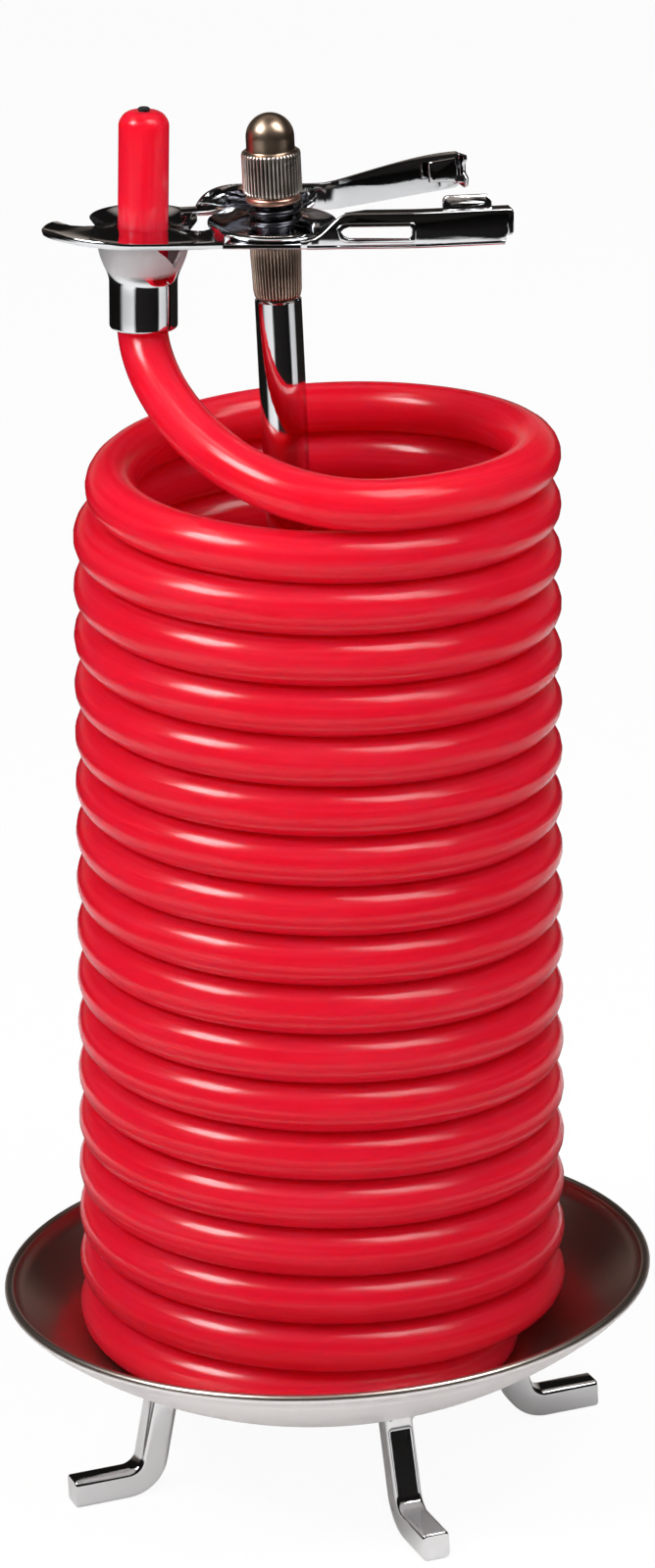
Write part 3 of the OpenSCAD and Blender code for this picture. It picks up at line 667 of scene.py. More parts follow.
@dataclass
class Legs:
    """Four square bars, bent into feet and brazed under the dish."""

    dish: DripDish
    bar: float = 4.75
    edge: float = 0.9
    top_r: float = 30.0
    lean: float = 13.0
    bend_r: float = 5.0
    foot_r: float = 47.0
    first_turn: float = 19.5
    braze_flare: float = 0.5
    end_edge: float = 0.4

    def build(self, material: bpy.types.Material) -> None:
        """Makes the four legs."""
        for i in range(4):
            self.leg(i, material)

    def leg(self, i: int, material: bpy.types.Material) -> bpy.types.Object:
        """Bends one bar: upright, bend and foot, then cuts its top to the dish.

        Args:
            i: The leg's number, from 0.
            material: Its finish.

        Returns:
            The leg.
        """
        lean = math.radians(self.lean)
        bend_z = self.bar / 2 + self.bend_r
        knee_z = bend_z - self.bend_r * math.sin(lean)
        top_z = self.dish.surface(self.top_r, self.dish.wall)
        knee_r = self.top_r + (top_z - knee_z) * math.tan(lean)
        bend_mid = Vector((knee_r + self.bend_r * math.cos(lean), 0, bend_z))
        bm = bmesh.new()
        outline = self.bar_outline()
        verts = [bm.verts.new((self.foot_r, y, self.bar / 2 + z)) for y, z in outline]
        edges = [bm.edges.new(pair) for pair in zip(verts, verts[1:] + verts[:1])]
        foot_edges = list(edges)
        edges = self.pull(bm, edges, Vector((bend_mid.x - self.foot_r, 0, 0)))
        spun = bmesh.ops.spin(
            bm, geom=edges + list({v for e in edges for v in e.verts}), cent=bend_mid,
            axis=(0, 1, 0), dvec=(0, 0, 0), angle=math.radians(90 - self.lean), steps=20,
            use_duplicate=False,
        )
        edges = [g for g in spun["geom_last"] if isinstance(g, bmesh.types.BMEdge)]
        rise = Vector((-math.sin(lean), 0, math.cos(lean)))
        length = (top_z - knee_z) / math.cos(lean)
        for reach in (length - 1.6, 1.2, 0.8):
            edges = self.pull(bm, edges, rise * reach)
        # The last ring spreads like a braze fillet and meets the dish's underside
        ring = {v for e in edges for v in e.verts}
        mid = sum((v.co for v in ring), Vector()) / len(ring)
        for vert in ring:
            vert.co += (vert.co - mid).normalized() * self.braze_flare
            r = math.hypot(vert.co.x, vert.co.y)
            vert.co.z = self.dish.surface(r, self.dish.wall) + 0.02
        cap = bmesh.ops.holes_fill(bm, edges=foot_edges, sides=0)["faces"]
        bmesh.ops.bevel(
            bm, geom=list(cap[0].edges), offset=self.end_edge, segments=3, profile=0.5,
            affect="EDGES", material=-1,
        )
        bmesh.ops.rotate(
            bm, verts=bm.verts, cent=(0, 0, 0),
            matrix=Matrix.Rotation(math.radians(self.first_turn + 90 * i), 3, "Z"),
        )
        piece = finish_mesh(bm, f"bent_leg_{i + 1}", material, sharp=40)
        return settle(piece, Body.STAND, [f"leg_{i + 1}"])

    def bar_outline(self) -> Profile:
        """Section of the bar: a square with rounded edges.

        Returns:
            The section.
        """
        points = []
        flat = self.bar / 2 - self.edge
        for k, (a, b) in enumerate(((1, 1), (-1, 1), (-1, -1), (1, -1))):
            points += arc((a * flat, b * flat), self.edge, 90 * k, 90 * k + 90, 5)
        return points

    @staticmethod
    def pull(bm: bmesh.types.BMesh, edges: list, by: Vector) -> list:
        """Extrudes a ring of edges along a vector and returns the new ring.

        Args:
            bm: Mesh that takes it.
            edges: The ring.
            by: Where it goes.

        Returns:
            The new ring.
        """
        made = bmesh.ops.extrude_edge_only(bm, edges=edges)["geom"]
        verts = [g for g in made if isinstance(g, bmesh.types.BMVert)]
        bmesh.ops.translate(bm, vec=by, verts=verts)
        return [g for g in made if isinstance(g, bmesh.types.BMEdge)
                and g.verts[0] in verts and g.verts[1] in verts]


@dataclass
class PostStack:
    """What is threaded on the post's axis: tube, collar, washer and finial; the bush is made with the
    clip.
    """

    dish: DripDish
    post_d: float = 7.5
    post_h: float = 188.5
    bevel: float = 0.35
    collar_h: float = 9.4
    collar_d: float = 8.2
    collar_foot_d: float = 7.4
    knurl_count: int = 44
    washer_d: float = 8.8
    finial_d: float = 9.5
    finial_knurl_h: float = 7.1
    dome_d: float = 7.75
    dome_neck_h: float = 2.2
    rod_hole_r: float = 2.05

    @property
    def post_low(self) -> float:
        """Height of the post's lower end."""
        return self.dish.surface(self.dish.pad_r)

    @property
    def post_top(self) -> float:
        """Height of the post's upper end."""
        return self.post_low + self.post_h

    def tube(self, material: bpy.types.Material) -> None:
        """Makes the post tube with its two bevelled ends.

        Args:
            material: Its finish.
        """
        r, b = self.post_d / 2, self.bevel
        low, top = self.post_low, self.post_top
        steps = [low + b + (top - low - 2 * b) * i / 8 for i in range(9)]
        section = (
            [(self.rod_hole_r, low), (r - b, low)]
            + [(r, z) for z in steps]
            + [(r - b, top), (self.rod_hole_r, top)]
        )
        bm = revolve(section, steps=96, closed=True)
        piece = finish_mesh(bm, "post_sleeve", material)
        settle(piece, Body.STAND, ["post_tube"])

    def collar(self, material: bpy.types.Material) -> None:
        """Makes the barrelled collar with its fine knurl.

        Args:
            material: Its finish.
        """
        low, h = self.post_top, self.collar_h
        foot, r = self.collar_foot_d / 2, self.collar_d / 2
        side = [
            (foot - 0.3, low), (foot, low + 0.35), (foot + 0.08, low + 0.7), (foot + 0.2, low + 1.4),
            (r - 0.1, low + h * 0.5), (r, low + h * 0.75), (r, low + h - 0.9), (r, low + h - 0.6),
            (r - 0.05, low + h - 0.35), (r - 0.35, low + h),
        ]
        bm = revolve([(self.rod_hole_r, low)] + side + [(self.rod_hole_r, low + h)], 352, True)
        knurl(bm, low + 0.5, low + h - 0.7, self.knurl_count, 0.26)
        piece = finish_mesh(bm, "knurled_post_collar", material, sharp=60)
        settle(piece, Body.STAND, ["knurled_collar"])

    def finial(self, material: bpy.types.Material) -> None:
        """Makes the knurled nut with its domed top.

        Args:
            material: Its finish.
        """
        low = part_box("finial")[0].z / MM
        h, r, neck = self.finial_knurl_h, self.finial_d / 2, self.dome_d / 2
        dome = arc((0, low + h + self.dome_neck_h), neck, 0, 90, 24)
        section = (
            [(self.rod_hole_r, low), (r - 0.5, low), (r - 0.12, low + 0.35), (r - 0.02, low + 0.8),
             (r, low + 1.2), (r, low + h - 1.0), (r, low + h - 0.6), (r - 0.1, low + h - 0.25),
             (r - 0.4, low + h - 0.02), (neck + 0.25, low + h), (neck + 0.03, low + h + 0.12),
             (neck, low + h + 0.4), (neck, low + h + 1.2)]
            + dome
        )
        bm = revolve(section, steps=352)
        knurl(bm, low + 0.5, low + h - 0.3, self.knurl_count, 0.28)
        rim = [e for e in bm.edges if e.is_boundary]
        bmesh.ops.holes_fill(bm, edges=rim, sides=0)
        piece = finish_mesh(bm, "domed_finial", material, sharp=60)
        settle(piece, Body.TOP_NUT, ["finial"])

    def washer(self, material: bpy.types.Material) -> None:
        """Makes the copper washer with its softened edges.

        Args:
            material: Its finish.
        """
        low, top = (corner.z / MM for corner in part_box("copper_washer"))
        r = self.washer_d / 2
        mid = (low + top) / 2
        edge = (top - low) / 2
        rim = arc((r - edge, mid), edge, -90, 90, 10)
        bm = revolve([(self.rod_hole_r, low)] + rim + [(self.rod_hole_r, top)], 96, True)
        piece = finish_mesh(bm, "copper_friction_washer", material, sharp=50)
        settle(piece, Body.TOP_NUT, ["copper_washer"])


# ---------------------------------------------------------------- the taper


@dataclass
class Taper:
    """The wax rope: its cut end in the dish, its coil, its rise to the clip and its tip."""

    rope_r: float = 4.2
    tip_r: float = 4.05
    turns: int = 18
    pitch: float = 8.4
    coil_r: float = 35.9
    flare: float = 0.0078
    shear: float = 0.04
    turn_tilt: float = 1.75
    tuck: float = 2.0
    tuck_turn: float = 0.5
    tuck_spread: float = 0.22
    right: float = 1.9
    back: float = 4.0
    set_z: float = 174.35
    start: float = -0.19
    tail_turns: float = 0.46
    tail_slide: float = 9.0
    tail_rise: float = 0.5
    tail_power: float = 2.6
    past_last: float = 0.04
    throat: tuple[float, float, float] = (-20.9435, 2.352, 214.616)
    lean: float = 3.57
    below: float = 16.0
    tip_h: float = 18.7
    tip_round: float = 2.4
    riser_pull: float = 12.0
    riser_reach: float = 20.5
    wick_r: float = 0.95
    wick_out: float = 0.6

    def coil(self, turn: float) -> Vector:
        """Middle of the rope at a turn count, from the top down.

        Args:
            turn: Turns from the top down.

        Returns:
            Middle of the rope there.
        """
        drop = self.pitch * turn
        below = drop - self.pitch * self.turns / 2
        tuck = self.tuck * math.exp(-(((turn - self.tuck_turn) / self.tuck_spread) ** 2))
        tail = (max(0.0, turn - self.turns + self.tail_turns) / self.tail_turns) ** self.tail_power
        r = self.coil_r + self.flare * below - tuck - self.tail_slide * tail
        drop -= self.tail_rise * tail
        angle = math.tau * turn
        x = self.right - self.shear * below + r * math.cos(angle)
        tilt = math.tan(math.radians(self.turn_tilt))
        return Vector((
            x, self.back + r * math.sin(angle), self.set_z - drop - tilt * r * math.cos(angle)
        ))

    def coil_way(self, turn: float) -> Vector:
        """Direction of the rope there, down the coil."""
        return (self.coil(turn + 0.001) - self.coil(turn - 0.001)).normalized()

    @property
    def tip_way(self) -> Vector:
        """Direction of the straight tip, upwards."""
        lean = math.radians(self.lean)
        return Vector((math.sin(lean), 0, math.cos(lean)))

    def route(self) -> list[tuple[Vector, float]]:
        """The rope's middle line with its radius, from the tip's face to the cut end.

        Returns:
            Point and radius, from one end to the other.
        """
        throat = Vector(self.throat)
        way = self.tip_way
        face = throat + self.tip_h * way
        points = []
        for angle in range(0, 91, 9):
            depth = self.tip_round * (1 - math.sin(math.radians(angle)))
            inset = self.tip_round * (1 - math.cos(math.radians(angle)))
            points.append((face - inset * way, self.tip_r - depth))
        straight, steps = self.tip_h + self.below - self.tip_round, 21
        for i in range(1, steps):
            points.append((face - (self.tip_round + straight * i / steps) * way, self.tip_r))
        top = throat - self.below * way
        first = self.coil(self.start)
        curve = [
            top, top - self.riser_pull * way,
            first - (self.riser_reach + 2 * self.rope_r) * self.coil_way(self.start), first,
        ]
        steps = 61
        for i in range(steps):
            t = i / steps
            points.append((bezier(curve, t), self.tip_r + (self.rope_r - self.tip_r) * t))
        per_turn = 96
        last = self.turns + self.past_last
        for k in range(round((last - self.start) * per_turn) + 1):
            points.append((self.coil(self.start + k / per_turn), self.rope_r))
        end = self.coil(last)
        along = self.coil_way(last)
        along.z = 0
        along.normalize()
        for reach, r in ((4, 0), (7.4, 0), (7.9, 0.25), (8.1, 0.8)):
            points.append((end + reach * along, self.rope_r - r))
        return points

    def build(self, material: bpy.types.Material) -> bpy.types.Object:
        """Sweeps the rope along its route as one unbroken piece of wax.

        Args:
            material: Its finish.

        Returns:
            The piece.
        """
        curve = bpy.data.curves.new("wax_rope_route", "CURVE")
        curve.dimensions = "3D"
        curve.bevel_depth = MM
        curve.bevel_resolution = 8
        curve.use_fill_caps = True
        curve.twist_mode = "MINIMUM"
        route = self.route()
        spline = curve.splines.new("POLY")
        spline.points.add(len(route) - 1)
        for point, (place, r) in zip(spline.points, route):
            point.co = (*(place * MM), 1)
            point.radius = r
        carrier = add_object("wax_rope_route", curve)
        depsgraph = bpy.context.evaluated_depsgraph_get()
        mesh = bpy.data.meshes.new_from_object(carrier.evaluated_get(depsgraph))
        bpy.data.objects.remove(carrier)
        mesh.name = "wax_rope"
        mesh.shade_smooth()
        mesh.set_sharp_from_angle(angle=math.radians(50))
        mesh.materials.clear()
        mesh.materials.append(material)
        nodes = ["wax_coil", "wax_riser", "wax_tip"]
        return settle(add_object("wax_rope", mesh), Body.SWIVEL, nodes)

    def length(self) -> float:
        """Length of the whole rope, in millimetres."""
        places = [place for place, _ in self.route()]
        return sum((b - a).length for a, b in zip(places, places[1:]))

    def wick(self, material: bpy.types.Material) -> bpy.types.Object:
        """Makes the braided wick's stub, with its frayed top.

        Args:
            material: Its finish.

        Returns:
            The piece.
        """
        r = self.wick_r
        low, top = self.tip_h - 4, self.tip_h + self.wick_out
        section = [(0, low), (r * 0.95, low)]
        section += [
            (r * (1 + 0.04 * (-1) ** i), low + (top - self.tip_h + 3.8) * i / 12)
            for i in range(1, 13)
        ]
        section += [(r * 0.8, top), (0, top - 0.1)]
        bm = revolve(section, steps=24)
        turn = UP.rotation_difference(self.tip_way).to_matrix().to_4x4()
        bmesh.ops.transform(bm, matrix=Matrix.Translation(self.throat) @ turn, verts=bm.verts)
        piece = finish_mesh(bm, "wick_stub", material, sharp=50)
        return settle(piece, Body.SWIVEL, ["wick"])


# ---------------------------------------------------------------- the clip


def loft(
    bm: bmesh.types.BMesh, sections: Iterable[Sequence[Vector]]
) -> list[bmesh.types.BMVert]:
    """Skins a row of closed sections and caps its two ends.

    Args:
        bm: Mesh that takes the skin.
        sections: Sections with the same number of points each.

    Returns:
        The new vertices.
    """
    rings = [[bm.verts.new(point) for point in section] for section in sections]
    for a, b in zip(rings, rings[1:]):
        for i in range(len(a)):
            j = (i + 1) % len(a)
            bm.faces.new((a[i], a[j], b[j], b[i]))
    bm.faces.new(list(reversed(rings[0])))
    bm.faces.new(rings[-1])
    return [vert for ring in rings for vert in ring]


def slab(
    bm: bmesh.types.BMesh, outline: Profile, thick: float, holes: Sequence[Profile] = (),
    edge: float = 0.14, cuts: Sequence[float] = (),
) -> list[bmesh.types.BMVert]:
    """Adds a flat sheet that stands in the XZ plane, with rounded edges.

    Args:
        bm: Mesh that takes the sheet.
        outline: Its outline, as x and z.
        thick: Its thickness, half to each side of the plane.
        holes: Outlines of its holes.
        edge: Radius of its edges.
        cuts: Places in x where it gets an extra row of points, to bend at.

    Returns:
        The sheet's vertices.
    """
    part = bmesh.new()
    edges = []
    for loop in (outline, *holes):
        verts = [part.verts.new((x, 0, z)) for x, z in loop]
        edges += [part.edges.new(pair) for pair in zip(verts, verts[1:] + verts[:1])]
    bmesh.ops.triangle_fill(part, use_beauty=True, edges=edges)
    bmesh.ops.solidify(part, geom=list(part.faces), thickness=thick)
    middle = sum(vert.co.y for vert in part.verts) / len(part.verts)
    bmesh.ops.translate(part, vec=(0, -middle, 0), verts=part.verts)
    bmesh.ops.recalc_face_normals(part, faces=part.faces)
    corner_turn = 1.2
    rims = [
        e for e in part.edges
        if len(e.link_faces) == 2 and e.calc_face_angle() > corner_turn
        and abs(e.verts[0].co.y - e.verts[1].co.y) < thick / 2
    ]
    bmesh.ops.bevel(
        part, geom=rims, offset=edge, segments=3, profile=0.5, affect="EDGES",
        clamp_overlap=True, material=-1,
    )
    for x in cuts:
        bmesh.ops.bisect_plane(
            part, geom=list(part.verts) + list(part.edges) + list(part.faces),
            plane_co=(x, 0, 0), plane_no=(1, 0, 0),
        )
    return absorb(bm, part)


def absorb(bm: bmesh.types.BMesh, part: bmesh.types.BMesh) -> list[bmesh.types.BMVert]:
    """Moves a small mesh into a larger one and returns its vertices there.

    Args:
        bm: The larger mesh.
        part: The small mesh, which is freed.

    Returns:
        Its vertices in the larger mesh.
    """
    carrier = bpy.data.meshes.new("part")
    part.to_mesh(carrier)
    part.free()
    known = len(bm.verts)
    bm.from_mesh(carrier)
    bpy.data.meshes.remove(carrier)
    bm.verts.ensure_lookup_table()
    return bm.verts[known:]


@dataclass
class Strip:
    """A strip of sheet that follows a bent line in plan, with a slight barrel in its height.

    The straight strip runs along x and stands up along z; y points to the back.
    """

    start: tuple[float, float]
    yaw: float
    bends: tuple[tuple[float, float, float], ...] = ()
    barrel: float = 0.0
    barrel_mid: float = 0.0
    barrel_half: float = 1.0
    step: float = 0.25
    steps: int = 400
    line: list[tuple[float, float]] = field(default_factory=list)

    def yaw_at(self, s: float) -> float:
        """Direction of the line at a length along it, in radians.

        Args:
            s: Length along the line.

        Returns:
            The direction.
        """
        turned = sum(
            turn * min(max((s - at) / spread + 0.5, 0), 1) for at, turn, spread in self.bends
        )
        return math.radians(self.yaw + turned)

    def place(self, s: float) -> tuple[float, float]:
        """Point of the line at a length along it.

        Args:
            s: Length along the line.

        Returns:
            The point, as x and y.
        """
        if not self.line:
            x, y = self.start
            self.line.append((x, y))
            for k in range(self.steps):
                yaw = self.yaw_at((k + 0.5) * self.step)
                x, y = x + self.step * math.cos(yaw), y + self.step * math.sin(yaw)
                self.line.append((x, y))
        if s < 0:
            yaw = self.yaw_at(0)
            return self.start[0] + s * math.cos(yaw), self.start[1] + s * math.sin(yaw)
        k = min(int(s / self.step), len(self.line) - 2)
        part = s / self.step - k
        (xa, ya), (xb, yb) = self.line[k], self.line[k + 1]
        return xa + (xb - xa) * part, ya + (yb - ya) * part

    def bend(self, verts: Iterable[bmesh.types.BMVert]) -> None:
        """Moves the points of a straight strip on to the line.

        Args:
            verts: The vertices.
        """
        for vert in verts:
            s, across, z = vert.co
            x, y = self.place(s)
            yaw = self.yaw_at(s)
            away = (z - self.barrel_mid) / self.barrel_half
            across -= self.barrel * (1 - away * away)
            vert.co = (x - across * math.sin(yaw), y + across * math.cos(yaw), z)


def oval(mid: Vector, wide: float, high: float) -> list[Vector]:
    """Ten points round an oval that stands across the X axis."""
    turns = [math.tau * k / 10 for k in range(10)]
    return [mid + Vector((0, wide * math.cos(a), high * math.sin(a))) for a in turns]


def shift(verts: Iterable[bmesh.types.BMVert], by: float) -> None:
    """Moves vertices along Y."""
    for vert in verts:
        vert.co.y += by


def turn_end(verts: Iterable[bmesh.types.BMVert], end: float, side: int) -> None:
    """Turns a standing sheet across the end of a strip, towards one side.

    Args:
        verts: The vertices.
        end: Where the strip ends.
        side: 1 for the back, -1 for the front.
    """
    for vert in verts:
        x, y, z = vert.co
        vert.co = (end + y, side * x, z)


def lay_flat(verts: Iterable[bmesh.types.BMVert], height: float) -> None:
    """Turns a standing sheet down so that its outline's z becomes y, at a height.

    Args:
        verts: The vertices.
        height: The height.
    """
    for vert in verts:
        x, y, z = vert.co
        vert.co = (x, z, height + y)


@dataclass
class Clip:
    """The scissor clip: two chromed levers with half cups, a bush and a torsion spring."""

    tilt: float = 2.8
    wall: float = 0.75
    bush_r: float = 3.2
    bush_h: float = 5.75
    run_gap: float = 0.05
    eye_mid: tuple[float, float] = (-0.4, 0.4)
    eye_floor_r: float = 7.45
    eye_r: float = 10.3
    jaw_reach: float = 21.1
    jaw_turn: float = 173.6
    throat_r: float = 4.45
    part_gap: float = 0.15
    cup_r: float = 4.7
    cup_wall: float = 0.8
    cup_h: float = 16.0
    cup_flare_h: float = 8.5
    cup_flare_r: float = 7.5
    saucer_r: float = 8.65
    wire_r: float = 0.45
    spring_r: float = 3.95
    spring_pitch: float = 1.75
    spring_from: float = 45.0
    spring_to: float = 720.0
    spring_leg: float = 4.6

    @property
    def throat(self) -> Vector:
        """Middle of the hole for the taper, in the clip's plane."""
        turn = math.radians(self.jaw_turn)
        return Vector((self.jaw_reach * math.cos(turn), self.jaw_reach * math.sin(turn), 0))

    def finish(
        self, bm: bmesh.types.BMesh, name: str, material: bpy.types.Material, sharp: float = 38.0
    ) -> bpy.types.Object:
        """Tilts a piece with the clip, lifts it on to the post and makes its object.

        Args:
            bm: The piece's mesh, which is freed.
            name: Name of the object.
            material: Its finish.
            sharp: Edges that turn more than this many degrees stay sharp.

        Returns:
            The object.
        """
        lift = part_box("pivot_bush")[0].z / MM + 2 * self.wall + self.bush_r * math.sin(
            math.radians(self.tilt)
        )
        matrix = Matrix.Translation((0, 0, lift)) @ Matrix.Rotation(math.radians(self.tilt), 4, "Y")
        bmesh.ops.transform(bm, matrix=matrix, verts=bm.verts)
        return finish_mesh(bm, name, material, sharp)

    def around(self, r: float, angle: float, z: float) -> Vector:
        """Point round the throat: radius, angle in degrees and height."""
        turn = math.radians(angle)
        return self.throat + Vector((r * math.cos(turn), r * math.sin(turn), z))

    # ------------------------------------------------ front lever

    def leaf_edge(self) -> list[Vector]:
        """Outer edge of the front lever's leaf, from the parting line round to the eye.

        Returns:
            Points of the edge.
        """
        leaf_reach, eye_edge_r = 14.0, 9.2
        far = self.around(leaf_reach, self.jaw_turn, 0) + Vector((0, -self.part_gap, 0))
        tip = Vector((-37.1, -0.8, 0))
        corner = [far, far + Vector((-1.3, -0.4, 0)), tip + Vector((0.25, 2.0, 0)), tip]
        rim = [tip, Vector((-36.6, -3.6, 0)), Vector((-30.5, -10.6, 0)), Vector((-21.5, -10.75, 0))]
        root = [rim[-1], Vector((-16.0, -10.8, 0)), Vector((-12.0, -10.2, 0)), Vector((-8.0, -9.9, 0))]
        points = [bezier(corner, i / 8) for i in range(8)]
        points += [bezier(rim, i / 26) for i in range(26)]
        points += [bezier(root, i / 12) for i in range(13)]
        mid = Vector((*self.eye_mid, 0))
        for i in range(1, 9):
            angle = math.radians(-140 - 34 * i / 8)
            points.append(mid + eye_edge_r * Vector((math.cos(angle), math.sin(angle), 0)))
        return points

    def leaf(self, bm: bmesh.types.BMesh) -> None:
        """Adds the leaf: a dished ring of sheet round the throat with a rolled-up rim.

        Args:
            bm: Mesh that takes it.
        """
        t = self.wall
        sections = []
        for edge in self.leaf_edge():
            out = (edge - self.throat).normalized()
            reach = (edge - self.throat).length - 0.35
            inner = self.throat_r + 0.1
            dish = min(0.45, 0.06 * (reach - inner))
            span = reach - inner
            top = [
                (0.0, -0.12), (0.15, 0.0), (span * 0.3, -dish * 0.55), (span * 0.55, -dish * 0.9),
                (span * 0.78, -dish * 0.75), (span * 0.9, -dish * 0.1), (span - 0.15, 0.2),
                (span + 0.08, 0.33),
            ]
            lip = [(span + 0.24, 0.3), (span + 0.33, 0.16), (span + 0.33, -0.05), (span + 0.26, -0.35),
                   (span + 0.12, -t)]
            low = [(r, z - t) for r, z in reversed(top[2:-1])] + [(0.15, -t), (0.0, -t + 0.12)]
            sections.append([
                self.throat + out * (inner + r) + Vector((0, 0, z)) for r, z in top + lip + low
            ])
        loft(bm, sections)

    def eye(self, bm: bmesh.types.BMesh) -> None:
        """Adds the round eye: a shallow saucer with a turned rim.

        Args:
            bm: Mesh that takes it.
        """
        t, floor_r, r = self.wall, self.eye_floor_r, self.eye_r
        hole = self.bush_r + self.run_gap
        section = [
            (hole, -t + 0.12), (hole, -0.12), (hole + 0.12, 0.0), (floor_r - 0.8, 0.0),
            (floor_r, 0.06), (floor_r + 0.6, 0.2), (r - 0.75, 0.78), (r - 0.4, 1.12), (r - 0.2, 1.25),
            (r - 0.04, 1.2), (r, 1.05), (r, 0.7), (r - 0.2, 0.42), (floor_r + 0.9, -0.5),
            (floor_r + 0.3, -0.69), (floor_r - 0.3, -t), (hole + 0.12, -t),
        ]
        saucer = revolve(section, steps=128, closed=True)
        bmesh.ops.translate(saucer, vec=(*self.eye_mid, 0), verts=saucer.verts)
        # The hole stays on the post while the saucer's rim lies off it
        for vert in saucer.verts:
            away = Vector((vert.co.x - self.eye_mid[0], vert.co.y - self.eye_mid[1]))
            share = max(0.0, 1 - (away.length - hole) / 2)
            vert.co.x -= self.eye_mid[0] * share
            vert.co.y -= self.eye_mid[1] * share
        absorb(bm, saucer)

    def apron(self, bm: bmesh.types.BMesh) -> None:
        """Adds the flat between leaf, eye and handle.

        Args:
            bm: Mesh that takes it.
        """
        inner = arc(self.eye_mid, 8.6, -30, -140, 16)
        outline = [(-8.3, -9.9), (-4.0, -10.0), (4.0, -10.1), (9.0, -9.9), (13.0, -9.6), (10.5, -7.0)]
        verts = slab(bm, outline + inner, self.wall)
        lay_flat(verts, -self.wall / 2 - 0.01)

    def front_handle(self, bm: bmesh.types.BMesh) -> None:
        """Adds the channel-shaped handle with its window, folded edge and finger tab.

        Args:
            bm: Mesh that takes it.
        """
        run, end, high, t = 18.5, 34.0, 5.0, self.wall
        strip = Strip(
            (4.0, -9.8), 2.48, ((run, 6.86, 3.0),), barrel=0.35, barrel_mid=2.2, barrel_half=2.9
        )
        outline = [
            (0.0, -t), (end - 1.6, -t), (end - 1.2, -t + 0.4), (end - 1.2, 0.5), (end - 0.9, 0.8),
            (end - 0.4, 0.8), (end, 1.2), (end, high - 0.5), (end - 0.5, high),
        ]
        outline += swing([(8.0, high), (4.8, high), (4.0, 0.5), (0.0, 0.5)], 14)
        low, top, near, far = 0.8, 2.9, run - 12.2, run - 0.9
        window = [
            (near, low + 1.3), (near + 0.5, low + 0.6), (near + 1.3, low + 0.2), (far - 0.4, low),
            (far, low + 0.4), (far, top - 0.4), (far - 0.4, top), (near + 1.3, top),
            (near + 0.5, top - 0.3),
        ]
        steps = [1.5 * i for i in range(1, 23)] + [run + by for by in (-1.2, -0.6, 0.6, 1.2)]
        groups = [slab(bm, outline, t, [window], edge=0.2, cuts=steps)]
        # Raised border round the window, and the rolled rail below it
        grown = 0.62
        border = [
            (x + math.copysign(grown, x - (near + far) / 2),
             z + math.copysign(grown, z - (low + top) / 2))
            for x, z in window
        ]
        groups.append(slab(bm, border, 0.3, [window], edge=0.12, cuts=steps))
        shift(groups[-1], -t / 2 - 0.1)
        groups.append(loft(bm, [
            oval(Vector((1.0 + (end - 2.4) * i / 29, -t / 2, 0.3 - t)), 0.32, 0.32)
            for i in range(30)
        ]))
        # Folded top edge: an arch from the panel over to the back
        groups.append(self.fold(bm, 1, [
            (7.0 + (end - 7.4) * i / 31, high, 1.8 * min(1.0, i / 4) + 0.05) for i in range(32)
        ]))
        # Finger tab with its curled top and a pressed bead
        near, far, foot, curl = run + 4.4, run + 12.2, high - 0.6, high + 0.95
        outline = [(near, foot), (far, foot), (far, high + 1.0)]
        outline += arc((far - 0.9, curl), 0.9, 10, 90, 6)
        outline += arc((near + 0.9, curl), 0.9, 90, 170, 6) + [(near, high + 1.0)]
        tab_y = 1.4
        groups.append(slab(bm, outline, t, edge=0.22, cuts=steps))
        for vert in groups[-1]:
            vert.co.y += tab_y + 0.12 * max(0.0, vert.co.z - high) ** 2
        bead = []
        for i in range(9):
            r = 0.42 * math.sin(math.pi * (0.12 + 0.76 * i / 8))
            mid = Vector((near + 1.2 + (far - near - 2.4) * i / 8, tab_y - t / 2, high + 0.75))
            bead.append(oval(mid, r * 0.8, r))
        groups.append(loft(bm, bead))
        # Turned end of the channel
        outline = [
            (0.0, 0.9), (1.7, 0.9), (1.9, 1.3), (1.9, high - 0.7), (1.7, high - 0.2),
            (0.0, high - 0.2),
        ]
        groups.append(slab(bm, outline, t, edge=0.22))
        turn_end(groups[-1], end - t / 2 - 0.02, 1)
        for group in groups:
            strip.bend(group)

    def fold(
        self, bm: bmesh.types.BMesh, side: int, rows: Iterable[tuple[float, float, float]]
    ) -> list[bmesh.types.BMVert]:
        """Adds a folded edge along a strip.

        Args:
            bm: Mesh that takes it.
            side: 1 folds it to the back, -1 to the front.
            rows: Its sections: place along the strip, height of the top and depth.

        Returns:
            The new vertices.
        """
        return loft(bm, [
            [Vector((s, side * y, z)) for y, z in self.fold_section(top, self.wall, deep)]
            for s, top, deep in rows
        ])

    @staticmethod
    def fold_section(high: float, t: float, deep: float) -> Profile:
        """Section of a folded edge: up the panel, round a half circle's quarter and back.

        Args:
            high: Height of the fold's top.
            t: Thickness of the sheet.
            deep: Depth of the fold.

        Returns:
            The section, as y and z.
        """
        r = t * 0.95
        outer = arc((r - t / 2, high - r), r, 180, 90, 8)
        inner = arc((r - t / 2, high - r), r - t * 0.8, 90, 180, 6)
        return outer + [(r - t / 2 + deep, high - 0.02), (r - t / 2 + deep, high - t * 0.75)] + inner

